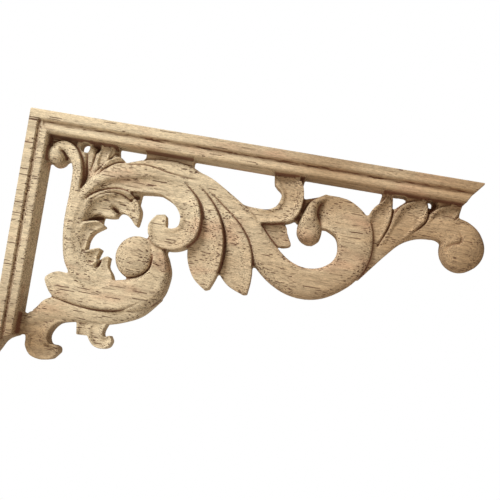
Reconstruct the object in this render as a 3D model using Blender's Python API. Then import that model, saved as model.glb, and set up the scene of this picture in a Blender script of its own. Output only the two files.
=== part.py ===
"""Carved wooden corner onlay: a moulded L-shaped frame filled with pierced acanthus scrollwork.

The piece is carved from one flat-backed board. It stands upright: +X runs along the top
rail, +Z is up, and the carving faces -Y. The flat back lies in the plane y = 0, and the
origin is on that back, in the corner block where the two rails cross.
"""

import math
from collections import namedtuple

import bmesh
import bpy

# Driving dimensions of the board and the frame, in millimetres.
LENGTH = 150.0
DROP = 82.5
THICKNESS = 9.0
RAIL = 7.0
ORIGIN_INSET = RAIL / 2

# The rail's moulding: distance from the outer edge, height above the back.
MOULDING = ((0.0, 9.0), (0.9, 9.0), (1.7, 9.0), (2.5, 8.9), (3.0, 8.2), (3.4, 7.4), (3.8, 7.5),
            (4.2, 8.2), (5.2, 8.6), (6.1, 8.4), (6.7, 7.8), (7.0, 6.9))

# The coves that end the rails: distance from the outer edge, setback from the tip.
TOP_COVE = ((0.0, 0.0), (2.4, 2.0), (4.4, 3.6), (6.4, 4.7), (7.0, 4.9))
SIDE_COVE = ((0.0, 0.0), (0.9, 1.6), (1.7, 3.1), (2.2, 4.2), (3.0, 5.6), (4.2, 6.7), (5.6, 7.5), (7.0, 8.1))

# Sampling of the carved strokes, and how far the raw blocks pass the back before it is planed.
STEP_ALONG = 5.0
STEP_TURN = math.radians(24)
FINE_STEPS = 240
DOME_STEPS = 28
DOME_RINGS = 5
OVERRUN = 1.0
INSIDE_RAIL = -6.0

# Metres within which points are one point, and angles that count as flat and as sharp.
SAME = 1e-7
TOUCHING = 1e-6
WELD = 2e-5
FLAT = math.radians(0.5)
SHARP = math.radians(30)

# Raw rubberwood: linear colour and roughness.
WOOD_COLOUR = (0.60, 0.45, 0.28, 1.0)
WOOD_ROUGHNESS = 0.75

# Cross-sections of the strokes: place across the stroke, share of the relief there.
CROWNED = ((0.0, 0.0), (0.2, 0.75), (0.5, 1.0), (0.8, 0.75), (1.0, 0.0))
SPOON = ((0.0, 0.0), (0.12, -0.15), (0.4, -1.0), (0.7, -0.9), (1.0, 0.0))
RIDGED = ((0.0, 0.0), (0.2, 0.8), (0.38, 1.0), (0.6, 0.0), (0.8, -0.4), (1.0, 0.0))
FALLING = ((0.0, 0.0), (0.18, 0.75), (0.4, 1.0), (0.7, 0.5), (1.0, 0.0))
FEATHER = ((0.0, 0.0), (0.3, -0.6), (0.6, -0.8), (0.88, 0.15), (1.0, 0.0))
FLAT_TOPPED = ((0.0, 0.0), (0.14, 0.75), (0.32, 1.0), (0.75, 1.0), (1.0, 0.3))

Stroke = namedtuple("Stroke", "section edge_a edge_b height_a height_b relief")
Dome = namedtuple("Dome", "x z radius_x radius_z edge crest")
Web = namedtuple("Web", "height outline")


def smooth(points, shares):
    """Return the places on a smooth curve through the points, at shares of the way by knot."""
    last = len(points) - 1
    samples = []
    for share in shares:
        place = last * share
        knot = min(int(place), last - 1)
        t = place - knot
        p0, p1, p2, p3 = (points[min(max(knot + k, 0), last)] for k in (-1, 0, 1, 2))
        samples.append(tuple(
            0.5 * (2 * b + (c - a) * t + (2 * a - 5 * b + 4 * c - d) * t ** 2
                   + (3 * b - a - 3 * c + d) * t ** 3)
            for a, b, c, d in zip(p0, p1, p2, p3)))
    return samples


def smooth_value(values, share):
    """Return the value at a share of the way along evenly spaced values."""
    place = share * (len(values) - 1)
    knot = min(int(place), len(values) - 2)
    t = place - knot
    ease = t * t * (3 - 2 * t)
    return values[knot] * (1 - ease) + values[knot + 1] * ease


def scroll(x, z, start, end, radii):
    """Return the points of a scroll's edge: radii at even angles, in degrees, about a centre."""
    points = []
    for index, radius in enumerate(radii):
        angle = math.radians(start + (end - start) * index / (len(radii) - 1))
        points.append((x + radius * math.cos(angle), z + radius * math.sin(angle)))
    return points


def interpolate(table, place):
    """Return the second column of a table at a place in its first column."""
    for (x0, y0), (x1, y1) in zip(table, table[1:]):
        if place <= x1 and x1 > x0:
            return y0 + (y1 - y0) * (place - x0) / (x1 - x0)
    return table[-1][1]


# Each stroke of the carving lies between two edges. The heights are those of the carved
# face at either edge, and the relief is how far the face rises or sinks between them.
STROKES = {
    "volute_stem": Stroke(
        CROWNED,
        [(19.4, -29.0), (19.9, -22.5), (19.7, -17.0), (18.4, -12.8), (15.6, -9.9), (11.8, -8.9), (8.2, -10.2)],
        [(16.5, -29.0), (16.6, -22.5), (16.4, -17.5), (15.4, -14.8), (13.6, -12.7), (11.6, -11.9), (10.2, -12.6)],
        (6.8, 7.0, 6.9, 6.0, 5.4), (5.6, 5.8, 5.6, 5.3, 5.8), (0.5, 0.6, 0.6, 0.5, 0.3)),
    "fan_left": Stroke(
        SPOON,
        [(19.4, -23.0), (20.0, -16.5), (19.1, -10.7)],
        [(22.2, -23.5), (23.2, -16.5), (20.8, -10.4)],
        (5.2, 4.5, 4.0), (6.2, 5.3, 4.4), (0.0, 0.6, 0.3)),
    "fan_middle": Stroke(
        SPOON,
        [(21.8, -19.5), (21.9, -13.5), (20.3, INSIDE_RAIL)],
        [(24.4, -19.0), (24.0, -12.8), (21.4, INSIDE_RAIL)],
        (5.2, 4.7, 4.4), (5.8, 5.3, 4.4), (0.2, 0.7, 0.1)),
    "fan_right": Stroke(
        SPOON,
        [(23.1, -18.0), (23.6, -12.8), (24.6, INSIDE_RAIL)],
        [(25.9, -17.6), (27.0, -12.5), (28.5, INSIDE_RAIL)],
        (5.4, 5.2, 5.0), (6.0, 5.7, 5.2), (0.2, 0.8, 0.5)),
    "fan_leaf": Stroke(
        SPOON,
        [(24.0, -18.6), (26.2, -13.4), (29.4, -11.0), (31.4, -10.5), (33.1, -11.5)],
        [(26.6, -18.1), (28.8, -14.4), (31.0, -12.9), (32.4, -12.9), (33.6, -12.8)],
        (5.8, 6.1, 6.0, 5.0), (6.6, 6.1, 5.6, 5.0), (0.2, 0.9, 0.8, 0.1)),
    "crown": Stroke(
        RIDGED,
        [(16.7, -29.2), (18.6, -25.0), (24.6, -17.0), (29.6, -13.8), (35.0, -11.7), (40.8, -10.2),
         (46.5, -9.6), (52.6, -9.9), (58.6, -11.3), (64.6, -13.6), (70.1, -16.6)],
        [(22.5, -30.8), (24.6, -26.8), (29.5, -22.3), (34.6, -21.1), (39.2, -20.9), (43.3, -20.4),
         (47.1, -20.3), (51.1, -21.9), (54.8, -22.6), (59.8, -22.9), (65.4, -23.9)],
        (5.6, 6.0, 5.6, 5.4, 5.2, 4.9), (6.4, 6.4, 6.4, 6.4, 6.5, 6.0), (0.8, 1.3, 1.5, 1.6, 1.3, 0.5)),
    "trunk": Stroke(
        FALLING,
        [(16.6, -25.5), (16.4, -33.5), (17.1, -40.8), (19.0, -47.8), (23.3, -53.3), (28.8, -56.3)],
        [(24.6, -26.5), (22.3, -35.0), (23.2, -41.5), (27.2, -47.4), (31.7, -50.4), (36.0, -51.6)],
        (5.6, 5.6), (6.0, 5.3, 5.0, 5.2, 5.4), (1.0, 1.6, 1.7, 1.6, 1.5)),
    "hood": Stroke(
        SPOON,
        scroll(33.5, -31.5, 190, 0, (13.1, 11.6, 10.4, 10.3, 9.1, 7.1)),
        [(23.5, -32.5), (25.8, -30.8), (31.4, -30.4), (33.9, -29.6), (36.0, -28.9), (37.9, -29.6),
         (40.0, -31.9)],
        (5.4, 7.0, 7.4, 6.9, 5.2), (4.0, 4.7, 5.1, 5.5, 5.0), (0.3, 1.2, 1.6, 1.0, 0.0)),
    "spoon_upper": Stroke(
        SPOON,
        [(21.4, -37.0), (22.9, -33.6), (25.2, -32.6), (27.6, -32.4), (30.0, -33.6)],
        [(22.8, -45.4), (24.8, -42.5), (25.1, -39.2), (26.4, -36.4), (29.4, -34.1)],
        (5.8, 6.6, 6.4, 5.2), (5.2, 4.8, 5.0, 5.0), (0.9, 1.3, 1.0, 0.0)),
    "spoon_middle": Stroke(
        SPOON,
        [(23.0, -45.0), (25.7, -42.8), (28.1, -41.6), (30.2, -41.0)],
        [(26.9, -50.2), (28.4, -48.0), (29.0, -44.6), (29.9, -41.6)],
        (5.8, 6.3, 5.2), (5.4, 4.8, 5.0), (0.7, 1.1, 0.0)),
    "spoon_lower": Stroke(
        SPOON,
        [(26.0, -48.4), (28.4, -46.3), (30.7, -44.4), (33.3, -43.1)],
        [(36.0, -52.0), (35.0, -49.1), (33.2, -46.6), (33.2, -43.7)],
        (5.8, 6.3, 5.2), (5.6, 5.0, 5.0), (0.7, 1.1, 0.0)),
    "curl": Stroke(
        SPOON,
        scroll(50.8, -26.8, 85, -176, (11.8, 10.9, 10.4, 10.7, 11.6, 11.6, 11.1, 10.2, 7.5, 4.3)),
        [(46.7, -20.2), (51.0, -22.2), (54.2, -25.9), (54.4, -29.5), (52.4, -30.9), (50.3, -30.6),
         (49.6, -28.8), (48.7, -27.1)],
        (5.6, 7.9, 8.2, 7.6, 6.6, 5.4), (5.6, 6.4, 6.4, 6.4, 6.2, 5.4), (0.2, 0.9, 1.0, 1.0, 1.1, 0.4)),
    "leaf_left": Stroke(
        FEATHER,
        [(53.7, -17.6), (57.3, -26.5), (58.4, -35.2), (59.3, -40.5), (62.0, -45.5), (66.2, -48.8)],
        [(60.2, -17.1), (66.0, -23.3), (69.4, -30.0), (70.3, -37.3), (69.5, -43.2), (67.7, -48.2)],
        (4.6, 5.2, 4.9, 4.8), (4.8, 7.0, 7.3, 6.2), (0.1, 0.5, 0.6, 0.1)),
    "leaf_right": Stroke(
        FEATHER,
        [(56.7, -16.6), (64.4, -26.0), (68.0, -35.0), (69.4, -41.0), (73.0, -45.5), (79.2, -48.1)],
        [(62.1, -16.5), (69.6, -21.4), (75.6, -27.5), (79.3, -33.6), (80.8, -41.1), (80.4, -47.7)],
        (4.4, 4.9, 4.5, 4.6), (4.6, 6.5, 6.9, 6.2), (0.1, 0.4, 0.6, 0.1)),
    "ring": Stroke(
        FLAT_TOPPED,
        [(57.6, -13.1), (64.2, -18.7), (70.7, -24.5), (76.0, -31.0)]
        + scroll(99.4, -28.6, -162, 88, (21.9, 18.9, 17.7, 17.1, 16.9, 17.9, 18.8, 19.8, 18.9, 17.3)),
        [(61.6, -11.9), (68.6, -15.6), (75.9, -20.2), (81.0, -24.6)]
        + scroll(99.4, -28.6, -177.5, 62.5, (13.9, 9.8, 8.1, 7.4, 7.4, 7.8, 7.9, 7.9, 7.1))
        + [(101.0, -22.1), (99.6, -20.0), (98.8, -16.9)],
        (5.4, 5.0, 4.8, 4.7, 5.2, 6.0, 5.6, 5.2), (4.8, 4.9, 5.5, 5.7, 5.7, 5.7, 5.4, 4.4),
        (0.2, 0.7, 1.3, 1.4, 1.4, 1.2, 1.2, 0.8)),
    "drop": Stroke(
        CROWNED,
        [(99.6, -11.6), (96.0, -14.2), (94.2, -18.0), (93.1, -21.8), (93.0, -24.8), (94.6, -27.1), (96.8, -28.1)],
        [(101.0, -13.0), (98.8, -15.0), (98.5, -18.0), (99.6, -20.2), (101.0, -22.8), (100.7, -26.0), (98.6, -28.0)],
        (5.0, 5.2, 4.8, 4.2), (5.0, 5.2, 4.9, 4.2), (0.6, 1.8, 2.8, 2.4, 0.7)),
    "little_scroll": Stroke(
        SPOON,
        [(91.8, INSIDE_RAIL), (93.2, -13.0), (93.1, -17.6), (91.6, -20.9), (88.2, -22.6), (80.9, -23.9),
         (76.8, -23.1)],
        [(82.6, INSIDE_RAIL), (83.3, -10.4), (85.7, -12.7), (86.0, -15.3), (84.6, -18.0), (81.0, -19.4),
         (73.3, -18.8)],
        (6.0, 7.0, 7.2, 6.6, 5.2), (4.6, 5.4, 5.8, 5.4, 4.8), (0.4, 1.0, 1.0, 0.8, 0.2)),
    "small_tip": Stroke(
        SPOON,
        [(78.3, -22.8), (84.0, -28.2), (88.3, -30.3), (91.3, -29.8)],
        [(84.8, -21.4), (89.0, -23.4), (90.2, -26.0), (91.9, -29.0)],
        (4.4, 4.0), (4.6, 4.8, 4.2), (0.3, 0.6, 0.0)),
    "side_leaf_a": Stroke(
        SPOON,
        [(121.7, INSIDE_RAIL), (122.7, -13.9), (122.0, -20.0), (120.4, -23.9)],
        [(119.9, INSIDE_RAIL), (119.5, -9.6), (116.3, -13.2), (115.1, -17.6), (117.2, -25.6)],
        (4.6, 5.4, 5.6, 5.2), (4.8, 6.2, 6.0, 5.2), (0.1, 1.1, 1.0, 0.3)),
    "side_leaf_b": Stroke(
        SPOON,
        [(132.9, INSIDE_RAIL), (133.8, -11.5), (132.3, -16.3), (127.9, -21.1)],
        [(127.9, INSIDE_RAIL), (127.0, -9.4), (123.7, -12.8), (122.3, -17.0), (121.9, -23.7)],
        (4.6, 5.4, 5.4, 5.0), (5.0, 6.2, 6.0, 5.2), (0.3, 1.2, 1.1, 0.4)),
    "side_leaf_c": Stroke(
        SPOON,
        [(144.6, INSIDE_RAIL), (144.3, -10.4), (144.7, -13.5), (140.1, -19.1)],
        [(138.5, INSIDE_RAIL), (135.5, -10.1), (133.5, -13.1), (132.1, -16.5), (129.7, -19.7)],
        (4.6, 5.2, 5.4, 5.2), (4.8, 5.8, 5.6, 5.2), (0.3, 0.9, 0.8, 0.4)),
    "arm": Stroke(
        CROWNED,
        [(113.2, -29.5), (117.3, -19.8), (125.9, -15.0), (138.0, -12.3), (143.7, -11.9)],
        [(115.7, -36.8), (119.2, -32.2), (123.0, -27.3), (127.2, -22.6), (131.6, -20.1), (136.0, -19.3),
         (139.3, -19.6), (141.5, -22.1)],
        (4.4, 4.8, 5.4), (4.2, 4.3, 5.0), (0.2, 0.6, 1.0)),
    "end_curl": Stroke(
        CROWNED,
        [(142.5, -11.5), (147.2, -12.3), (151.3, -14.9), (153.7, -18.9), (153.9, -22.5)],
        [(140.3, -20.4), (141.1, -21.1), (142.4, -21.6), (144.0, -22.0), (146.6, -22.5)],
        (4.8, 4.5, 4.2), (4.8, 5.4, 5.8), (1.0, 1.8, 2.2)),
    "scroll_band": Stroke(
        FLAT_TOPPED,
        [(22.3, -58.9), (30.0, -60.5), (38.0, -60.8), (45.0, -59.8), (49.6, -57.3), (53.2, -52.8),
         (54.3, -46.1), (53.2, -41.9), (51.4, -38.7), (48.8, -36.9)],
        [(23.9, -51.9), (30.6, -52.9), (36.2, -51.0), (39.8, -50.1), (43.4, -48.9), (46.0, -46.4),
         (47.2, -43.6), (47.4, -41.0), (46.5, -38.6), (45.2, -37.1)],
        (5.4, 5.3, 4.9, 4.7, 5.0), (5.6, 5.4, 5.5, 5.7, 5.2), (0.8, 1.2, 1.8, 2.1, 0.8)),
    "low_leaf": Stroke(
        RIDGED,
        [(13.0, -54.5), (14.6, -57.2), (17.0, -59.5), (22.0, -60.4), (33.0, -61.1), (40.5, -59.9), (46.6, -56.3)],
        [(13.2, -53.4), (15.5, -51.8), (18.6, -51.1), (24.0, -52.1), (32.0, -53.6), (39.0, -52.7), (45.2, -51.1)],
        (4.8, 6.4, 7.0, 7.0, 6.2), (4.8, 5.3, 5.8, 6.0, 6.2), (0.0, 0.8, 0.9, 0.9, 0.5)),
    "under_band": Stroke(
        CROWNED,
        [(10.3, -70.8), (18.6, -68.4), (25.0, -66.7), (34.7, -65.9), (41.5, -63.9), (47.5, -60.6), (52.6, -54.6)],
        [(9.4, -66.6), (11.8, -64.2), (14.5, -61.0), (19.4, -59.3), (30.0, -59.7), (40.0, -58.4), (49.0, -52.4)],
        (4.6, 4.7, 4.4, 4.4), (4.4, 4.8, 4.8), (0.5, 0.9, 0.8, 0.6)),
    "foot": Stroke(
        SPOON,
        [(23.8, -66.8), (20.4, -68.0), (18.3, -70.4), (17.5, -73.0), (18.4, -75.2), (20.2, -75.4),
         (21.6, -76.0), (22.0, -77.5)],
        [(19.7, -63.2), (12.4, -65.2), (8.2, -69.2), (7.3, -71.2), (9.9, -74.0), (10.4, -77.5),
         (12.6, -80.3), (16.4, -81.1), (19.8, -80.2)],
        (5.2, 6.2, 6.4, 5.8, 5.4), (5.0, 4.8, 4.8, 4.6), (0.2, 0.8, 1.1, 0.9, 0.3)),
    "foot_tab": Stroke(
        SPOON,
        [(26.0, -65.8), (26.7, -70.7)],
        [(32.0, -65.8), (30.0, -70.5)],
        (4.4, 4.4), (4.6, 4.6), (0.2, 0.5)),
    "foot_hook": Stroke(
        SPOON,
        [(29.9, -65.8), (30.4, -70.0), (32.7, -73.2), (35.7, -74.0), (38.1, -73.0), (38.9, -70.8)],
        [(36.3, -65.4), (35.4, -68.2), (35.8, -69.8), (37.0, -69.6), (37.8, -69.0)],
        (4.4, 5.0, 5.2, 5.0), (4.8, 5.4, 4.8, 4.6), (0.2, 0.9, 0.6, 0.1)),
}

DOMES = {
    "volute_ball": Dome(10.0, -13.1, 3.2, 3.4, 4.4, 7.4),
    "scroll_ball": Dome(42.2, -42.3, 6.9, 7.2, 4.6, 7.9),
    "end_ball": Dome(147.1, -21.3, 7.0, 7.3, 4.2, 8.0),
}

# Thin ground left between the strokes, where the board isn't cut right through.
WEBS = {
    "volute_web": Web(3.2, [(7.4, -6.0), (17.5, -6.0), (17.5, -15.1), (15.3, -14.6), (13.9, -13.8),
                            (12.0, -15.1), (9.8, -15.7), (5.8, -13.5), (5.8, -7.9)]),
    "fan_web": Web(2.6, [(15.8, -6.0), (29.6, -6.0), (30.2, -9.4), (31.7, -11.3), (29.6, -13.9),
                         (24.5, -19.0), (19.9, -23.1), (17.4, -19.0)]),
    "hood_web": Web(4.0, [(31.5, -19.5), (40.0, -20.0), (39.7, -24.3), (38.6, -26.5), (31.5, -24.5)]),
    "pocket_web": Web(3.0, [(21.5, -30.0), (27.5, -30.2), (28.6, -30.8), (28.4, -33.0), (22.0, -34.5)]),
    "crown_web": Web(3.8, [(37.4, -6.0), (55.6, -6.0), (55.1, -8.0), (55.6, -10.4), (51.3, -11.5), (41.6, -11.5),
                           (40.4, -9.6), (38.9, -7.6)]),
    "side_web": Web(3.4, [(118.2, -10.6), (119.0, -6.0), (144.0, -6.0), (144.0, -11.2), (139.7, -17.1),
                          (126.5, -19.2), (118.4, -21.2)]),
    "small_web": Web(4.0, [(82.4, -6.0), (92.7, -6.0), (92.5, -9.1), (87.8, -11.8), (84.6, -11.0), (83.0, -10.3)]),
    "drop_web": Web(3.6, [(92.5, -14.1), (97.5, -12.4), (100.6, -12.4), (100.6, -21.0), (96.0, -21.0),
                          (92.3, -21.6), (91.4, -19.2)]),
    "curl_web": Web(3.8, [(44.7, -34.5), (49.2, -35.5), (51.7, -38.5), (48.7, -40.6), (44.1, -38.5)]),
    "foot_web": Web(3.4, [(5.0, -66.2), (9.5, -66.8), (12.5, -67.0), (12.5, -73.4), (9.6, -73.8),
                          (7.2, -74.0), (5.0, -73.0)]),
}

# Piercings through the webs, as outlines.
PIERCINGS = {
    "fan_hole": scroll(18.4, -8.7, 0, 330, (1.3,) * 12),
    "side_hole": scroll(134.2, -8.5, 0, 330, (1.2,) * 12),
    "side_triangle": [(121.4, -7.4), (127.8, -7.4), (127.8, -8.6), (124.9, -10.9), (123.0, -12.6), (121.6, -12.0)],
}


def to_world(x, z, height):
    """Return the point in metres, measured from the origin in the corner block."""
    return ((x - ORIGIN_INSET) / 1000, -height / 1000, (z + ORIGIN_INSET) / 1000)


def add_object(mesh_name, bm, collection):
    """Make an object of a bmesh, with its faces turned outward, in a collection."""
    bmesh.ops.remove_doubles(bm, verts=bm.verts, dist=SAME)
    bmesh.ops.recalc_face_normals(bm, faces=bm.faces)
    mesh = bpy.data.meshes.new(mesh_name)
    bm.to_mesh(mesh)
    bm.free()
    item = bpy.data.objects.new(mesh_name, mesh)
    item.display_type = "WIRE" if collection.hide_render else "TEXTURED"
    collection.objects.link(item)
    return item


def loft(sections):
    """Return a closed bmesh through sections, each a ring of as many world points."""
    bm = bmesh.new()
    rings = [[bm.verts.new(point) for point in section] for section in sections]
    count = len(rings[0])
    for ring, following in zip(rings, rings[1:]):
        for index in range(count):
            after = (index + 1) % count
            bm.faces.new((ring[index], ring[after], following[after], following[index]))
    bm.faces.new(rings[0][::-1])
    bm.faces.new(rings[-1])
    bmesh.ops.triangulate(bm, faces=[face for face in bm.faces if len(face.verts) > 3])
    return bm


def stations(stroke):
    """Return the shares along a stroke where it is cut, closer together where an edge turns."""
    fine = [index / FINE_STEPS for index in range(FINE_STEPS + 1)]
    travelled = [0.0] * (FINE_STEPS + 1)
    for edge in (smooth(stroke.edge_a, fine), smooth(stroke.edge_b, fine)):
        total = 0.0
        heading = math.atan2(edge[1][1] - edge[0][1], edge[1][0] - edge[0][0])
        for index, (start, end) in enumerate(zip(edge, edge[1:])):
            direction = math.atan2(end[1] - start[1], end[0] - start[0])
            turn = abs(math.remainder(direction - heading, math.tau))
            heading = direction
            total += math.dist(start, end) / STEP_ALONG + turn / STEP_TURN
            travelled[index + 1] = max(travelled[index + 1], travelled[index], total)
    count = max(3, math.ceil(travelled[-1]))
    places = [(distance / travelled[-1], share) for distance, share in zip(travelled, fine)]
    return [interpolate(places, index / count) for index in range(count)] + [1.0]


def stroke_body(stroke):
    """Return the closed block of one stroke, from past the back up to its carved face."""
    shares = stations(stroke)
    sections = []
    for share, (ax, az), (bx, bz) in zip(shares, smooth(stroke.edge_a, shares), smooth(stroke.edge_b, shares)):
        height_a = smooth_value(stroke.height_a, share)
        height_b = smooth_value(stroke.height_b, share)
        relief = smooth_value(stroke.relief, share)
        ring = [to_world(ax, az, -OVERRUN)]
        for across, rise in stroke.section:
            height = height_a + (height_b - height_a) * across + relief * rise
            ring.append(to_world(ax + (bx - ax) * across, az + (bz - az) * across, height))
        ring.append(to_world(bx, bz, -OVERRUN))
        sections.append(ring)
    return loft(sections)


def frame_body():
    """Return the closed L of the two moulded rails, mitred at the corner."""
    def section(place_of):
        ring = [to_world(*place_of(inset), height) for inset, height in MOULDING]
        ring.append(to_world(*place_of(RAIL), -OVERRUN))
        ring.append(to_world(*place_of(0.0), -OVERRUN))
        return ring

    top_end = section(lambda inset: (LENGTH - interpolate(TOP_COVE, inset), -inset))
    corner = section(lambda inset: (inset, -inset))
    side_end = section(lambda inset: (inset, interpolate(SIDE_COVE, inset) - DROP))
    return loft([top_end, corner, side_end])


def dome_body(dome):
    """Return a ball end: a turned profile, stretched to its two radii."""
    bm = bmesh.new()
    verts = [bm.verts.new((0.0, -dome.crest / 1000, 0.0))]
    for ring in range(1, DOME_RINGS + 1):
        angle = math.pi / 2 * ring / DOME_RINGS
        height = dome.edge + (dome.crest - dome.edge) * math.cos(angle)
        verts.append(bm.verts.new((math.sin(angle), -height / 1000, 0.0)))
    verts.append(bm.verts.new((1.0, OVERRUN / 1000, 0.0)))
    verts.append(bm.verts.new((0.0, OVERRUN / 1000, 0.0)))
    edges = [bm.edges.new(pair) for pair in zip(verts, verts[1:])]
    bmesh.ops.spin(bm, geom=verts + edges, axis=(0, 1, 0), cent=(0, 0, 0), dvec=(0, 0, 0),
                   angle=math.tau, steps=DOME_STEPS, use_merge=True, use_duplicate=False)
    bmesh.ops.remove_doubles(bm, verts=bm.verts, dist=TOUCHING)
    bmesh.ops.scale(bm, vec=(dome.radius_x / 1000, 1.0, dome.radius_z / 1000), verts=bm.verts)
    bmesh.ops.translate(bm, vec=to_world(dome.x, dome.z, 0.0), verts=bm.verts)
    bmesh.ops.triangulate(bm, faces=bm.faces)
    return bm


def plate_object(name, outline, low, high, collection):
    """Make a plate from a flat outline, between two heights above the back."""
    curve = bpy.data.curves.new(name, "CURVE")
    curve.dimensions = "2D"
    curve.fill_mode = "BOTH"
    curve.extrude = (high - low) / 2000
    spline = curve.splines.new("POLY")
    spline.points.add(len(outline) - 1)
    spline.use_cyclic_u = True
    for point, (x, z) in zip(spline.points, outline):
        place = to_world(x, z, 0.0)
        point.co = (place[0], place[2], 0.0, 1.0)
    guide = bpy.data.objects.new(name + "_outline", curve)
    collection.objects.link(guide)
    guide.rotation_euler = (math.pi / 2, 0.0, 0.0)
    guide.location = (0.0, -(low + high) / 2000, 0.0)
    bpy.context.view_layer.update()
    evaluated = guide.evaluated_get(bpy.context.evaluated_depsgraph_get())
    mesh = bpy.data.meshes.new_from_object(evaluated)
    mesh.transform(guide.matrix_world)
    bm = bmesh.new()
    bm.from_mesh(mesh)
    bpy.data.meshes.remove(mesh)
    bpy.data.objects.remove(guide)
    bmesh.ops.remove_doubles(bm, verts=bm.verts, dist=TOUCHING)
    return add_object(name, bm, collection)


def combine(target, operation, tools):
    """Apply one exact Boolean of every object in a collection to the target, then remove them."""
    modifier = target.modifiers.new(operation.title(), "BOOLEAN")
    modifier.operation = operation
    modifier.solver = "EXACT"
    modifier.operand_type = "COLLECTION"
    modifier.collection = tools
    bpy.context.view_layer.update()
    evaluated = target.evaluated_get(bpy.context.evaluated_depsgraph_get())
    mesh = bpy.data.meshes.new_from_object(evaluated)
    target.modifiers.remove(modifier)
    previous = target.data
    target.data = mesh
    bpy.data.meshes.remove(previous)
    for item in list(tools.objects):
        bpy.data.objects.remove(item)


def clean(mesh):
    """Weld slivers, plane the overrun off the back, close it flat and merge flat faces."""
    bm = bmesh.new()
    bm.from_mesh(mesh)
    bmesh.ops.remove_doubles(bm, verts=bm.verts, dist=WELD)
    bmesh.ops.dissolve_degenerate(bm, edges=bm.edges, dist=WELD)
    geometry = list(bm.verts) + list(bm.edges) + list(bm.faces)
    bmesh.ops.bisect_plane(bm, geom=geometry, dist=SAME, plane_co=(0, 0, 0), plane_no=(0, 1, 0), clear_outer=True)
    bmesh.ops.dissolve_limit(bm, angle_limit=FLAT, verts=bm.verts, edges=bm.edges)
    rim = [edge for edge in bm.edges if edge.is_boundary]
    bmesh.ops.triangle_fill(bm, edges=rim, use_beauty=True, normal=(0, 1, 0))
    bmesh.ops.recalc_face_normals(bm, faces=bm.faces)
    bm.to_mesh(mesh)
    bm.free()


def wood():
    """Return the material: pale, raw rubberwood."""
    material = bpy.data.materials.new("raw_rubberwood")
    material.use_nodes = True
    shader = material.node_tree.nodes["Principled BSDF"]
    shader.inputs["Base Color"].default_value = WOOD_COLOUR
    shader.inputs["Roughness"].default_value = WOOD_ROUGHNESS
    shader.inputs["Metallic"].default_value = 0.0
    return material


def main():
    for item in list(bpy.data.objects):
        bpy.data.objects.remove(item, do_unlink=True)
    parts = bpy.data.collections.new("wooden_corner_onlay")
    cutters = bpy.data.collections.new("cutters")
    bpy.context.scene.collection.children.link(parts)
    bpy.context.scene.collection.children.link(cutters)
    cutters.hide_render = True

    onlay = add_object("corner_onlay", frame_body(), parts)
    for name, web in WEBS.items():
        plate_object(name, web.outline, -OVERRUN, web.height, cutters)
    combine(onlay, "UNION", cutters)
    for name, outline in PIERCINGS.items():
        plate_object(name, outline, -2 * OVERRUN, THICKNESS, cutters)
    combine(onlay, "DIFFERENCE", cutters)
    for name, stroke in STROKES.items():
        add_object(name, stroke_body(stroke), cutters)
    for name, dome in DOMES.items():
        add_object(name, dome_body(dome), cutters)
    combine(onlay, "UNION", cutters)
    clean(onlay.data)
    onlay.data.materials.clear()
    onlay.data.materials.append(wood())
    onlay.data.shade_smooth()
    onlay.data.set_sharp_from_angle(angle=SHARP)


main()
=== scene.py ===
"""Looks of the wooden corner onlay.

The onlay is machine-carved from one flat board of raw rubberwood. The script makes each carved
stroke as a sheet between its two edges, surveys the sheets into one map of heights, rounds the
map as a ball-nosed cutter and a little sanding would, and turns it into one closed mesh with
true outlines, upright walls and a flat back.
"""

import logging
import math
from dataclasses import dataclass, field, fields
from enum import Enum
from typing import Any, Callable, Iterator, Optional

import bmesh
import bpy
import numpy as np
from mathutils import Matrix, Vector
from mathutils.geometry import delaunay_2d_cdt


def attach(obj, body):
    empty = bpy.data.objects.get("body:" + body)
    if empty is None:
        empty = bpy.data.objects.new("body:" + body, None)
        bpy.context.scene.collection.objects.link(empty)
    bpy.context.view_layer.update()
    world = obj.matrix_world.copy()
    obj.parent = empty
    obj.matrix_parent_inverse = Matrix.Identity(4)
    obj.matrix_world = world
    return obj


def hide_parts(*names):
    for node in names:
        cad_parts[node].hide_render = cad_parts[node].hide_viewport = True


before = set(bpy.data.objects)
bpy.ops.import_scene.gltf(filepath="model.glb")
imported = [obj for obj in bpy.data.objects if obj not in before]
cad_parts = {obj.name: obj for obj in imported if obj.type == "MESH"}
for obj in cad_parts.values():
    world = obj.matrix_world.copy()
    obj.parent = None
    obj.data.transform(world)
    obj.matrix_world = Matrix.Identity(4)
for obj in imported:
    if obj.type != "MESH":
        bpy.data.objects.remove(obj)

logging.basicConfig(level=logging.INFO, format="%(message)s")
LOG = logging.getLogger("corner_onlay")

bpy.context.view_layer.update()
NODE = "corner_onlay"
BODY = "root"

MM = 0.001
ORIGIN_INSET = 3.5
SEED = 11

# Height in millimetres where there is no wood.
OUTSIDE = -4.0

Point = tuple[float, float]
Triple = tuple[float, float, float]
Table = tuple[Point, ...]


def to_world(x: float, z: float, height: float) -> tuple[float, float, float]:
    """Place a point of the carving in the frame.

    Args:
        x: Millimetres along the top rail from the outer corner.
        z: Millimetres up from the outer corner.
        height: Millimetres above the flat back.

    Returns:
        The point in metres, with the origin in the corner block.
    """
    return (x - ORIGIN_INSET) * MM, -height * MM, (z + ORIGIN_INSET) * MM


def linear(code: str) -> tuple[float, float, float, float]:
    """Turn an sRGB hex colour into a linear one.

    Args:
        code: The colour, such as "D8C29A".

    Returns:
        Linear red, green, blue and an alpha of one.
    """
    shares = [int(code[place:place + 2], 16) / 255 for place in (0, 2, 4)]
    red, green, blue = (s / 12.92 if s <= 0.04045 else ((s + 0.055) / 1.055) ** 2.4 for s in shares)
    return red, green, blue, 1.0


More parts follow.
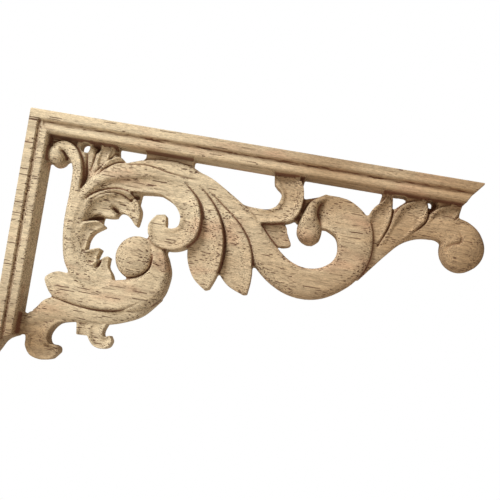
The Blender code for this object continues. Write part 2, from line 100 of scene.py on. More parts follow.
def add_node(
        tree: bpy.types.NodeTree, kind: str, inputs: Optional[dict] = None,
        **settings: Any) -> bpy.types.Node:
    """Add a node to a tree.

    Args:
        tree: The tree it goes into.
        kind: The node's type name.
        inputs: Its inputs by name or number, each a value or a socket to link.
        **settings: Attributes of the node, such as its operation.

    Returns:
        The new node.
    """
    made = tree.nodes.new(kind)
    for name, value in settings.items():
        setattr(made, name, value)
    for key, value in (inputs or {}).items():
        if isinstance(value, bpy.types.NodeSocket):
            tree.links.new(value, made.inputs[key])
        else:
            made.inputs[key].default_value = value
    return made


def smooth(points: tuple, shares: np.ndarray) -> np.ndarray:
    """Sample a smooth curve through points, or through single values.

    Args:
        points: The knots, evenly spaced in the curve's own measure.
        shares: How far along the knots each sample lies, from 0 to 1.

    Returns:
        One row for each share.
    """
    knots = np.array(points, float).reshape(len(points), -1)
    last = len(knots) - 1
    place = shares * last
    knot = np.minimum(place.astype(int), last - 1)
    t = (place - knot)[:, None]
    a, b, c, d = (knots[np.clip(knot + k, 0, last)] for k in (-1, 0, 1, 2))
    square, cube = 2 * a - 5 * b + 4 * c - d, 3 * b - a - 3 * c + d
    return 0.5 * (2 * b + (c - a) * t + square * t ** 2 + cube * t ** 3)


def eased(values: tuple[float, ...], shares: np.ndarray) -> np.ndarray:
    """Ease from value to value without overshoot.

    Args:
        values: Evenly spaced values.
        shares: How far along them each sample lies, from 0 to 1.

    Returns:
        The value at each share.
    """
    place = shares * (len(values) - 1)
    knot = np.minimum(place.astype(int), len(values) - 2)
    t = place - knot
    table = np.array(values, float)
    return table[knot] + (table[knot + 1] - table[knot]) * t * t * (3 - 2 * t)


def scroll(x: float, z: float, start: float, end: float, radii: tuple[float, ...]) -> Table:
    """Give the edge of a scroll.

    Args:
        x: Centre along the top rail.
        z: Centre up from the corner.
        start: First angle in degrees.
        end: Last angle in degrees.
        radii: The edge's radii at even angles.

    Returns:
        The edge's points.
    """
    angles = np.radians(np.linspace(start, end, len(radii)))
    return tuple((x + r * math.cos(a), z + r * math.sin(a)) for r, a in zip(radii, angles))


def length_of(path: Table) -> float:
    """Measure a path from point to point."""
    return float(np.linalg.norm(np.diff(np.array(path), axis=0), axis=1).sum())


def within(outline: Any, x: np.ndarray, z: np.ndarray) -> np.ndarray:
    """Tell which points lie within an outline.

    Args:
        outline: The outline's corners.
        x: The points' x.
        z: The points' z.

    Returns:
        True where a point lies within.
    """
    inside = np.zeros(x.shape, bool)
    corners = np.array(outline)
    for (x0, z0), (x1, z1) in zip(corners, np.roll(corners, -1, 0)):
        if z0 != z1:
            crossing = x0 + (z - z0) * (x1 - x0) / (z1 - z0)
            inside ^= ((z0 > z) != (z1 > z)) & (x < crossing)
    return inside


def blurred(values: np.ndarray, passes: int) -> np.ndarray:
    """Blur a raster.

    Args:
        values: The raster.
        passes: How many times each point is evened out with its neighbours.

    Returns:
        The blurred raster.
    """
    for _ in range(passes):
        edge = np.pad(values, 1, mode="edge")
        values = (edge[:-2, 1:-1] + 2 * edge[1:-1, 1:-1] + edge[2:, 1:-1]) / 4
        edge = np.pad(values, 1, mode="edge")
        values = (edge[1:-1, :-2] + 2 * edge[1:-1, 1:-1] + edge[1:-1, 2:]) / 4
    return values


def blurred_within(values: np.ndarray, weight: np.ndarray, passes: int, least: float = 1e-6) -> np.ndarray:
    """Blur a raster without what lies outside the wood.

    Args:
        values: The raster, with 0 outside the wood.
        weight: A raster with 1 in the wood and 0 outside.
        passes: How many times they are blurred.
        least: Least weight that the result is divided by.

    Returns:
        The blurred raster.
    """
    return blurred(values, passes) / np.maximum(blurred(weight, passes), least)


def add_object(name: str, data: Any) -> bpy.types.Object:
    """Put an object into the scene.

    Args:
        name: Its name.
        data: Its mesh, light or camera.

    Returns:
        The new object, at the origin.
    """
    item = bpy.data.objects.new(name, data)
    bpy.context.scene.collection.objects.link(item)
    return item


def store(mesh: bpy.types.Mesh, name: str, values: np.ndarray) -> None:
    """Store a number or a vector for each point of a mesh.

    Args:
        mesh: The mesh.
        name: The attribute's name.
        values: One number or one vector for each point.
    """
    kind, key = ("FLOAT", "value") if values.ndim == 1 else ("FLOAT_VECTOR", "vector")
    mesh.attributes.new(name, kind, "POINT").data.foreach_set(key, values.astype(np.float32).ravel())


class Section(Enum):
    """How a face runs across its stroke: share of the way across, share of the relief."""

    CROWNED = ((0.0, 0.0), (0.2, 0.75), (0.5, 1.0), (0.8, 0.75), (1.0, 0.0))
    SPOON = ((0.0, 0.0), (0.06, 0.1), (0.16, -0.3), (0.4, -1.0), (0.7, -0.9), (0.9, -0.15), (1.0, 0.0))
    RIDGED = ((0.0, 0.0), (0.2, 0.8), (0.38, 1.0), (0.6, 0.0), (0.8, -0.45), (1.0, 0.0))
    FALLING = ((0.0, 0.0), (0.18, 0.75), (0.4, 1.0), (0.7, 0.5), (1.0, 0.0))
    FEATHER = ((0.0, 0.0), (0.3, -0.6), (0.6, -0.8), (0.88, 0.15), (1.0, 0.0))
    FLAT_TOPPED = ((0.0, 0.0), (0.12, 0.7), (0.3, 1.0), (0.75, 1.0), (0.92, 0.7), (1.0, 0.2))


@dataclass(frozen=True)
class Stroke:
    """One carved stroke, in millimetres.

    Attributes:
        section: How the face runs across it.
        edge_a: The first edge's knots.
        edge_b: The second edge's knots.
        height_a: Heights of the face at the first edge, evenly along it.
        height_b: Heights of the face at the second edge.
        relief: How far the face rises or sinks between the edges.
        rise: Length at its start over which it grows out of what lies under it.
        dive: Share of its length at the end over which it sinks, and how deep it gets.
    """

    section: Section
    edge_a: Table
    edge_b: Table
    height_a: tuple[float, ...]
    height_b: tuple[float, ...]
    relief: tuple[float, ...]
    rise: float = 0.0
    dive: Point = (0.0, 0.0)


@dataclass(frozen=True)
class Ball:
    """A scroll's ball end: its centre, radii, and heights at its edge and its crest."""

    x: float
    z: float
    radius_x: float
    radius_z: float
    edge: float
    crest: float


@dataclass(frozen=True)
class Ground:
    """Thin ground left between strokes: its height above the back and its outline."""

    height: float
    outline: Table


@dataclass(frozen=True)
class Piercing:
    """A hole or a cut end: its outline, and the height above which wood stays."""

    outline: Table
    ceiling: float = 4.0


@dataclass(frozen=True)
class Gouge:
    """A groove cut along a curve: its knots, width and depth."""

    path: Table
    width: float
    depth: float


@dataclass(frozen=True)
class Blend:
    """A round place where strokes flow into each other: its centre, radius and softness."""

    x: float
    z: float
    radius: float
    softness: float


@dataclass
class Assembly:
    """A sub-assembly of the carving, whose fields are its strokes, balls, grounds and cuts."""

    def parts(self, kind: type) -> Iterator[tuple[str, Any]]:
        """List the parts of one kind.

        Args:
            kind: Stroke, Ball, Ground, Piercing, Blend or Gouge.

        Returns:
            The name and value of each such field.
        """
        for item in fields(self):
            value = getattr(self, item.name)
            if isinstance(value, kind):
                yield item.name, value

    def build(self, trees: "CarvingTrees") -> list[bpy.types.Object]:
        """Make the carved sheets of this sub-assembly.

        Args:
            trees: The geometry node trees that shape them.

        Returns:
            One mesh object for each stroke and ball.
        """
        sheets = [trees.stroke_sheet(name, stroke) for name, stroke in self.parts(Stroke)]
        sheets += [trees.ball_sheet(name, ball) for name, ball in self.parts(Ball)]
        return sheets


@dataclass
class MouldedFrame:
    """The L of two moulded rails, mitred at the corner and coved at both ends.

    The mouldings run from the outer edge inward with the height above the back. The coves run
    the same way with the setback from the rail's tip.

    Attributes:
        length: The top rail's length.
        drop: The left rail's length.
        width: Both rails' width.
        top_moulding: The top rail's moulding.
        side_moulding: The left rail's moulding.
        top_cove: The cove at the top rail's tip.
        side_cove: The cove at the left rail's tip.
        chips: Small chips torn out of each rail.
        side_grooves: Where the left rail chips, from its outer edge.
        top_groove: Where the top rail starts to chip, from its outer edge.
    """

    length: float = 150.0
    drop: float = 82.5
    width: float = 7.0
    top_moulding: Table = ((0.0, 9.0), (2.8, 9.0), (3.05, 8.8), (3.4, 8.15), (3.8, 7.8), (4.2, 7.85),
                           (4.7, 8.2), (5.2, 8.55), (5.6, 8.7), (6.35, 8.65), (6.6, 8.45), (7.0, 7.9))
    side_moulding: Table = ((0.0, 9.0), (2.95, 9.0), (3.1, 8.3), (3.3, 7.7), (3.7, 7.6), (4.0, 8.0),
                            (4.3, 8.75), (4.6, 8.9), (6.3, 8.85), (6.7, 8.6), (7.0, 8.1))
    top_cove: Table = ((0.0, 0.0), (2.4, 2.0), (4.4, 3.6), (6.4, 4.7), (7.0, 4.9))
    side_cove: Table = ((0.0, 0.0), (0.9, 1.6), (1.7, 3.1), (2.2, 4.2), (3.0, 5.6), (4.2, 6.7), (5.6, 7.5),
                        (7.0, 8.1))
    chips: int = 110
    side_grooves: tuple[float, ...] = (3.0, 3.3, 4.3)
    top_groove: float = 3.2

    def carve(self, relief: "Relief") -> None:
        """Run both mouldings into the relief.

        Args:
            relief: The relief that they are cut in.
        """
        x, z = relief.places()
        setback_top = np.interp(-z, *zip(*self.top_cove))
        setback_side = np.interp(x, *zip(*self.side_cove))
        top = (z < 0) & (-z < self.width) & (x > -z) & (x < self.length - setback_top)
        side = (x > 0) & (x < self.width) & (x <= -z) & (z > setback_side - self.drop)
        for run, inset, moulding in ((top, -z, self.top_moulding), (side, x, self.side_moulding)):
            height = np.interp(inset[run], *zip(*moulding))
            relief.heights[run] = np.maximum(relief.heights[run], height)

    def tear(self, relief: "Relief") -> None:
        """Tear small chips out of the grooves' edges, where the cutter ran across the grain.

        Args:
            relief: The relief that is torn.
        """
        chance = np.random.default_rng(SEED)
        for _ in range(self.chips):
            x = chance.choice(self.side_grooves) + chance.normal(0.0, 0.1)
            spot = (x, -chance.uniform(4.0, self.drop - 4.0))
            relief.chip(spot, chance.uniform(0.1, 0.3), chance.uniform(0.08, 0.3), chance.uniform(0.2, 0.7))
            spot = (chance.uniform(5.0, self.length - 6.0), -self.top_groove - abs(chance.normal(0.0, 0.5)))
            relief.chip(spot, chance.uniform(0.5, 2.2), chance.uniform(0.07, 0.13), chance.uniform(0.1, 0.45))


@dataclass
class VoluteAndFan(Assembly):
    """The small volute under the corner and the fan of leaflets beside it."""

    volute_stem: Stroke = Stroke(
        Section.CROWNED,
        ((19.4, -29.0), (19.9, -22.5), (19.7, -17.0), (18.4, -12.8), (15.6, -9.3), (11.8, -8.1), (8.0, -9.7)),
        ((16.5, -29.0), (16.6, -22.5), (16.4, -17.5), (15.4, -14.8), (13.6, -12.7), (11.6, -11.9),
         (10.2, -12.6)),
        (6.8, 7.0, 6.9, 6.0, 5.4), (5.6, 5.8, 5.6, 5.3, 5.8), (0.5, 0.6, 0.6, 0.5, 0.3), rise=5.0)
    volute_ball: Ball = Ball(10.0, -13.1, 3.2, 3.4, 4.4, 7.4)
    ball_cleft: Gouge = Gouge(((11.4, -11.4), (12.6, -12.4), (13.2, -13.6), (13.3, -15.2)), 0.5, 1.8)
    volute_ground: Ground = Ground(
        4.3, ((7.4, -6.0), (17.5, -6.0), (17.5, -15.1), (15.3, -14.6), (13.9, -13.8), (12.0, -15.1),
              (9.8, -15.7), (5.8, -13.5), (5.8, -7.9)))
    fan_left: Stroke = Stroke(
        Section.SPOON, ((19.4, -23.0), (20.0, -16.5), (19.1, -10.7)),
        ((22.2, -23.5), (23.2, -16.5), (20.8, -10.4)),
        (5.2, 4.5, 4.0), (6.2, 5.3, 4.4), (0.0, 0.6, 0.3))
    fan_middle: Stroke = Stroke(
        Section.SPOON, ((21.8, -19.5), (21.9, -13.5), (20.3, -6.0)),
        ((24.4, -19.0), (24.0, -12.8), (21.4, -6.0)),
        (5.2, 4.7, 4.4), (5.8, 5.3, 4.4), (0.2, 0.7, 0.1))
    fan_right: Stroke = Stroke(
        Section.SPOON, ((23.1, -18.0), (23.6, -12.8), (24.6, -6.0)),
        ((25.9, -17.6), (27.0, -12.5), (28.5, -6.0)),
        (5.4, 5.2, 5.0), (6.0, 5.7, 5.2), (0.2, 0.8, 0.5))
    fan_leaf: Stroke = Stroke(
        Section.SPOON,
        ((24.0, -18.6), (26.2, -13.4), (29.4, -11.0), (31.4, -10.5), (33.1, -11.5)),
        ((26.6, -18.1), (28.8, -14.4), (31.0, -12.9), (32.4, -12.9), (33.6, -12.8)),
        (5.8, 6.1, 6.0, 5.0), (6.6, 6.1, 5.6, 5.0), (0.2, 0.9, 0.8, 0.1))
    fan_ground: Ground = Ground(
        4.7, ((15.8, -6.0), (29.6, -6.0), (30.2, -9.4), (31.7, -11.3), (29.6, -13.9), (24.5, -19.0),
              (19.9, -23.1), (17.4, -19.0)))
    fan_crevice_a: Gouge = Gouge(((22.8, -8.4), (22.6, -11.3), (22.3, -14.2), (21.9, -17.2)), 0.3, 0.8)
    fan_crevice_b: Gouge = Gouge(((29.7, -8.4), (28.1, -11.2), (26.0, -13.9), (23.6, -16.9)), 0.3, 0.8)
    fan_crevice_c: Gouge = Gouge(((33.2, -11.8), (31.4, -12.0), (28.7, -13.4), (26.3, -15.6),
                                  (24.9, -17.8)), 0.3, 0.8)
    fan_pit_a: Gouge = Gouge(((21.8, -8.0), (23.2, -8.3), (22.8, -9.8)), 0.75, 3.2)
    fan_pit_b: Gouge = Gouge(((29.3, -7.8), (30.6, -8.1), (29.9, -9.6)), 0.75, 2.6)
    stem_shade: Gouge = Gouge(((19.6, -9.4), (20.4, -14.8), (20.8, -18.2), (20.3, -22.3)), 0.5, 1.2)
    fan_hole: Piercing = Piercing(scroll(18.9, -9.0, 0, 330, (1.7,) * 12), 6.0)


@dataclass
class CrownAndHood(Assembly):
    """The leaf that arches over the central opening, and the hooded lobe under it."""

    crown: Stroke = Stroke(
        Section.RIDGED,
        ((16.7, -29.2), (18.6, -25.0), (24.6, -17.0), (29.6, -13.8), (35.0, -11.6), (40.8, -9.7),
         (46.5, -8.9), (52.6, -9.2), (58.6, -11.2), (64.6, -13.6), (70.1, -16.6)),
        ((22.5, -30.8), (24.6, -26.8), (29.5, -22.3), (34.6, -21.1), (39.2, -20.9), (43.3, -20.4),
         (47.1, -20.3), (51.1, -21.9), (54.8, -22.6), (59.8, -22.9), (65.4, -23.9)),
        (5.6, 6.0, 5.6, 5.4, 5.2, 4.9), (6.4, 6.4, 6.4, 6.4, 6.5, 6.0),
        (0.8, 1.1, 1.0, 0.8, 0.6, 0.3), dive=(0.3, 3.0))
    crown_ground: Ground = Ground(
        4.5, ((39.0, -6.0), (55.6, -6.0), (55.3, -8.9), (56.4, -9.9), (58.6, -10.9), (60.3, -11.5),
              (58.0, -12.5),
              (51.3, -11.5), (41.6, -11.5), (38.0, -11.0), (39.0, -9.9), (39.6, -9.1), (39.6, -8.2)))
    hood: Stroke = Stroke(
        Section.SPOON, scroll(33.5, -31.5, 190, 0, (13.1, 11.6, 10.4, 10.3, 9.1, 7.1)),
        ((23.5, -32.5), (25.8, -30.8), (31.4, -30.4), (33.9, -29.6), (36.0, -28.9), (37.9, -29.6),
         (40.0, -31.9)),
        (5.4, 7.0, 7.4, 6.9, 5.2), (4.0, 4.7, 5.1, 5.5, 5.0), (0.3, 1.2, 1.6, 1.0, 0.0), rise=4.0)
    ridge_crease: Gouge = Gouge(((30.0, -13.6), (35.1, -12.3), (41.3, -11.8), (49.0, -13.1),
                                 (57.6, -13.8)), 0.25, 0.6)
    hood_crease: Gouge = Gouge(((22.5, -25.6), (24.5, -23.6), (27.7, -21.9), (31.5, -20.9), (35.0, -21.0),
                                (38.2, -22.4)), 0.3, 0.6)
    hood_fold: Gouge = Gouge(((24.3, -26.0), (26.8, -23.9), (30.5, -22.5), (34.0, -22.6),
                              (37.6, -24.2)), 0.35, 0.9)
    hood_notch: Gouge = Gouge(((31.3, -27.0), (32.8, -28.0), (34.2, -29.2), (35.8, -30.8)), 0.75, 2.8)
    hood_step: Piercing = Piercing(
        ((32.9, -31.4), (33.2, -29.4), (33.9, -28.2), (34.9, -28.0), (36.3, -28.5), (37.6, -29.4),
         (38.5, -30.6), (37.4, -32.4), (33.6, -32.4)), 9.0)
    hood_pocket: Gouge = Gouge(((22.8, -33.4), (25.0, -31.9), (27.5, -31.0), (29.5, -31.3)), 0.7, 2.0)
    hood_corner: Gouge = Gouge(((37.2, -23.9), (38.3, -22.9), (39.4, -22.6), (40.4, -23.2)), 0.75, 2.4)
    hood_start: Blend = Blend(24.8, -29.6, 4.5, 0.7)
    hood_ground: Ground = Ground(
        5.2, ((31.5, -19.5), (40.0, -20.0), (39.7, -24.3), (38.6, -26.5), (31.5, -24.5)))


@dataclass
class TrunkAndSpoons(Assembly):
    """The thick stem on the left of the central opening, and its three spoon-shaped lobes."""

    trunk: Stroke = Stroke(
        Section.FALLING,
        ((16.6, -25.5), (16.4, -33.5), (17.1, -40.8), (19.0, -47.8), (23.3, -53.3), (28.8, -56.3)),
        ((24.6, -26.5), (22.3, -35.0), (23.2, -41.5), (27.2, -47.4), (31.7, -50.4), (36.0, -51.6)),
        (5.6, 5.6), (6.2, 6.0, 5.9, 5.8, 5.6), (1.0, 1.1, 1.2, 1.2, 1.3), dive=(0.25, 0.5))
    spoon_upper: Stroke = Stroke(
        Section.SPOON, ((21.4, -37.0), (22.9, -33.6), (25.2, -32.6), (27.6, -32.4), (30.0, -33.6)),
        ((22.8, -45.4), (24.8, -42.5), (25.1, -39.2), (26.4, -36.4), (29.4, -34.1)),
        (5.8, 6.6, 6.4, 5.2), (5.6, 5.3, 5.2, 5.0), (0.7, 1.0, 0.9, 0.0), rise=4.0)
    spoon_middle: Stroke = Stroke(
        Section.SPOON, ((23.0, -45.0), (25.7, -42.8), (28.1, -41.6), (30.2, -41.0)),
        ((26.9, -50.2), (28.4, -48.0), (29.0, -44.6), (29.9, -41.6)),
        (5.8, 6.3, 5.6), (5.4, 5.2, 5.2), (0.5, 0.7, 0.0), rise=3.0)
    spoon_lower: Stroke = Stroke(
        Section.SPOON, ((26.0, -48.4), (28.4, -46.3), (30.7, -44.4), (33.3, -43.1)),
        ((36.0, -52.0), (35.0, -49.1), (33.2, -46.6), (33.2, -43.7)),
        (5.8, 6.3, 5.2), (5.6, 5.0, 5.0), (0.7, 1.1, 0.0), rise=4.0)
    tear_a: Gouge = Gouge(((31.3, -41.8), (30.8, -43.6), (30.3, -45.4), (29.7, -47.4)), 0.65, 2.6)
    tear_b: Gouge = Gouge(((25.2, -40.6), (26.6, -41.6), (27.9, -41.9)), 0.4, 1.2)
    foot_of_trunk: Blend = Blend(31.5, -51.5, 6.0, 0.9)
    spoon_root_a: Blend = Blend(23.0, -38.0, 4.0, 0.6)
    spoon_root_b: Blend = Blend(24.5, -46.5, 4.0, 0.6)
    pocket_ground: Ground = Ground(2.4, ((21.5, -30.0), (27.5, -30.2), (28.6, -30.8), (28.4, -33.0),
                                         (22.0, -34.5)))


@dataclass
class CurlAndLeaves(Assembly):
    """The C-shaped curl in the middle and the two long leaves that fall behind it."""

    curl: Stroke = Stroke(
        Section.SPOON,
        scroll(50.8, -26.8, 85, -176, (11.8, 10.9, 10.4, 10.7, 11.6, 11.6, 11.1, 10.2, 7.5, 4.3)),
        ((46.7, -20.2), (51.0, -22.2), (54.2, -25.9), (54.4, -29.5), (52.4, -30.9), (50.3, -30.6),
         (50.0, -28.9), (49.5, -26.5)),
        (5.6, 7.9, 8.2, 7.6, 6.6, 5.4), (5.6, 6.4, 6.4, 6.4, 6.2, 5.4),
        (0.2, 0.8, 0.8, 0.7, 0.5, 0.1), rise=13.0)
    leaf_left: Stroke = Stroke(
        Section.FEATHER,
        ((52.5, -15.2), (57.3, -24.5), (58.4, -35.2), (59.3, -40.5), (62.0, -45.5), (66.2, -48.8)),
        ((58.2, -15.0), (65.9, -22.3), (69.4, -30.0), (70.3, -37.3), (69.5, -43.2), (67.7, -48.2)),
        (4.6, 5.2, 4.9, 4.8), (4.8, 7.0, 7.3, 6.2), (0.1, 0.5, 0.6, 0.1), rise=12.0)
    leaf_right: Stroke = Stroke(
        Section.FEATHER,
        ((55.5, -14.3), (64.4, -25.0), (68.0, -35.0), (69.4, -41.0), (73.0, -45.5), (79.2, -48.1)),
        ((60.5, -14.6), (69.6, -21.6), (75.6, -27.5), (79.3, -33.6), (80.8, -41.1), (80.4, -47.7)),
        (4.4, 4.9, 4.5, 4.6), (4.6, 6.5, 6.9, 6.2), (0.1, 0.4, 0.6, 0.1), rise=12.0)
    curl_line: Gouge = Gouge(((54.2, -15.4), (57.0, -17.7), (59.6, -20.2), (61.3, -22.9),
                              (62.2, -26.0)), 0.35, 0.9)
    leaf_line: Gouge = Gouge(((59.2, -15.6), (62.2, -18.0), (65.4, -21.4), (68.1, -25.5), (69.9, -29.7),
                              (70.8, -34.7), (70.6, -39.8), (69.4, -45.0)), 0.35, 0.9)
    ring_line: Gouge = Gouge(((62.2, -16.3), (66.8, -19.7), (71.4, -23.2), (75.1, -26.5), (78.1, -30.3),
                              (79.9, -34.2), (81.2, -39.0)), 0.35, 0.8)
    fan_start: Blend = Blend(57.0, -17.5, 7.0, 0.7)
    curl_ground: Ground = Ground(3.8, ((44.7, -34.5), (49.2, -35.5), (51.7, -38.5), (48.7, -40.6),
                                       (44.1, -38.5)))


@dataclass
class RingAndDrop(Assembly):
    """The broad band that swings round the second opening, and the drop that ends it."""

    ring: Stroke = Stroke(
        Section.FLAT_TOPPED,
        ((52.0, -13.4), (57.6, -14.4), (64.2, -18.7), (70.7, -24.5), (76.0, -31.0))
        + scroll(99.4, -28.6, -162, 88, (21.9, 18.9, 17.7, 17.1, 16.9, 17.9, 18.8, 19.8, 18.9, 17.3)),
        ((54.0, -10.2), (61.6, -11.9), (68.6, -15.6), (75.9, -20.2), (81.0, -24.6))
        + scroll(99.4, -28.6, -177.5, 62.5, (13.9, 9.8, 8.1, 7.4, 7.4, 7.8, 7.9, 7.9, 7.1))
        + ((101.0, -22.1), (99.6, -20.0), (98.8, -16.9)),
        (5.4, 5.0, 4.8, 4.7, 5.2, 6.0, 5.9, 5.7), (4.8, 4.9, 5.5, 5.7, 5.7, 5.7, 5.0, 3.5),
        (0.2, 0.7, 1.3, 1.4, 1.4, 1.2, 0.7, 0.0), rise=16.0)
    drop: Stroke = Stroke(
        Section.CROWNED,
        ((99.6, -11.6), (96.0, -14.2), (94.2, -18.0), (93.1, -21.8), (93.0, -24.8), (94.6, -27.1),
         (96.8, -28.1)),
        ((101.0, -13.0), (98.8, -15.0), (98.5, -18.0), (99.6, -20.2), (101.0, -22.8), (100.7, -26.0),
         (98.6, -28.0)),
        (5.0, 5.2, 4.8, 4.2), (5.0, 5.2, 4.9, 4.2), (0.6, 1.8, 2.8, 2.4, 0.7), rise=3.0)
    drop_ground: Ground = Ground(
        3.6, ((92.5, -14.1), (97.5, -12.4), (100.6, -12.4), (100.6, -21.0), (96.0, -21.0), (92.3, -21.6),
              (91.4, -19.2)))


@dataclass
class LittleScroll(Assembly):
    """The small C-scroll that joins the band to the top rail, with the tip behind it."""

    little_scroll: Stroke = Stroke(
        Section.SPOON,
        ((89.2, -6.2), (92.0, -8.8), (93.3, -13.0), (93.1, -17.6), (91.6, -20.9), (88.2, -22.6),
         (80.9, -23.9), (76.8, -23.1)),
        ((82.6, -6.0), (83.3, -10.4), (85.7, -12.7), (86.0, -15.3), (84.6, -18.0), (81.0, -19.4),
         (73.3, -18.8)),
        (6.0, 7.0, 7.2, 6.6, 5.2), (4.6, 5.4, 5.8, 5.4, 4.8), (0.4, 1.0, 1.0, 0.8, 0.2), dive=(0.12, 3.0))
    tail_end: Blend = Blend(75.6, -20.8, 5.0, 0.9)
    small_tip: Stroke = Stroke(
        Section.SPOON, ((78.3, -22.8), (84.0, -28.2), (88.3, -30.3), (91.3, -29.8)),
        ((84.8, -21.4), (89.0, -23.4), (90.2, -26.0), (91.9, -29.0)),
        (4.4, 4.0), (4.6, 4.8, 4.2), (0.3, 0.6, 0.0))
    small_ground: Ground = Ground(
        4.0, ((82.4, -6.0), (92.7, -6.0), (92.5, -9.1), (87.8, -11.8), (84.6, -11.0), (83.0, -10.3)))


@dataclass
class ArmAndSideLeaves(Assembly):
    """The tapering arm at the right, its three side leaves and its ball end."""

    side_leaf_a: Stroke = Stroke(
        Section.SPOON, ((121.7, -6.0), (122.7, -13.9), (122.0, -20.0), (120.4, -23.9)),
        ((119.9, -6.0), (119.5, -9.6), (116.3, -13.2), (115.1, -17.6), (117.2, -25.6)),
        (4.6, 5.4, 5.6, 5.2), (4.8, 6.2, 6.0, 5.2), (0.1, 1.1, 1.0, 0.3))
    side_leaf_b: Stroke = Stroke(
        Section.SPOON, ((133.4, -7.6), (134.0, -11.4), (133.2, -15.4), (128.4, -20.6)),
        ((132.2, -7.8), (128.2, -9.0), (125.0, -11.2), (123.0, -15.4), (121.0, -23.9)),
        (4.8, 5.8, 5.8, 5.0), (5.2, 6.5, 6.4, 5.2), (0.3, 1.3, 1.1, 0.4))
    side_leaf_c: Stroke = Stroke(
        Section.SPOON, ((144.6, -7.0), (144.2, -10.2), (143.6, -13.5), (138.5, -18.2)),
        ((143.4, -7.4), (138.6, -8.8), (135.4, -11.2), (133.4, -14.8), (130.2, -18.9)),
        (4.6, 5.2, 5.4, 5.2), (4.8, 6.2, 6.0, 5.2), (0.3, 1.0, 0.8, 0.3))
    arm: Stroke = Stroke(
        Section.CROWNED, ((113.2, -29.5), (117.3, -19.8), (125.9, -15.0), (138.0, -12.3), (143.7, -11.9)),
        ((115.7, -36.8), (119.2, -32.2), (123.0, -27.3), (127.2, -22.6), (131.6, -20.1), (136.0, -19.3),
         (139.3, -19.6), (141.5, -22.1)),
        (4.4, 4.8, 5.4), (4.2, 4.3, 5.0), (0.2, 0.6, 1.0))
    end_curl: Stroke = Stroke(
        Section.CROWNED, ((142.5, -11.5), (147.2, -12.3), (151.3, -14.9), (153.7, -18.9), (153.9, -22.5)),
        ((140.3, -20.4), (141.1, -21.1), (142.4, -21.6), (144.0, -22.0), (146.6, -22.5)),
        (4.8, 4.5, 4.2), (4.8, 5.4, 5.8), (1.0, 1.8, 2.2), rise=4.0)
    curl_root: Blend = Blend(142.0, -16.2, 5.5, 0.9)
    end_ball: Ball = Ball(147.1, -21.3, 7.0, 7.3, 4.2, 7.6)
    leaf_crevice_a: Gouge = Gouge(((121.7, -8.3), (122.8, -13.6), (122.3, -18.2), (119.8, -25.0)), 0.4, 1.5)
    leaf_crevice_b: Gouge = Gouge(((133.4, -8.2), (134.3, -11.4), (133.7, -14.8), (130.6, -18.4)), 0.4, 1.3)
    leaf_crevice_c: Gouge = Gouge(((144.2, -8.2), (143.9, -10.9), (142.6, -12.8)), 0.35, 0.8)
    ball_ridge: Gouge = Gouge(
        ((145.4, -15.2), (146.9, -18.1), (146.4, -20.4), (143.8, -21.4), (142.6, -22.5),
         (142.6, -24.6)), 0.45, -0.6)
    ball_groove: Gouge = Gouge(
        ((144.6, -15.8), (145.9, -18.1), (145.5, -19.8), (143.2, -20.7), (141.8, -22.0),
         (141.7, -24.0)), 0.5, 0.7)
    side_ground: Ground = Ground(
        4.6, ((118.2, -10.6), (119.0, -6.0), (144.0, -6.0), (144.0, -11.2), (139.7, -17.1), (126.5, -19.2),
              (118.4, -21.2)))
    side_hole: Piercing = Piercing(scroll(134.2, -8.5, 0, 330, (1.2,) * 12), 4.9)
    side_triangle: Piercing = Piercing(
        ((121.6, -7.6), (125.9, -7.5), (126.8, -7.9), (126.7, -8.8), (124.9, -10.5), (123.2, -12.2),
         (122.4, -12.5), (121.8, -11.8)), 4.9)
    side_pit: Gouge = Gouge(((133.8, -7.9), (135.8, -8.6), (134.6, -10.8)), 0.8, 3.2)


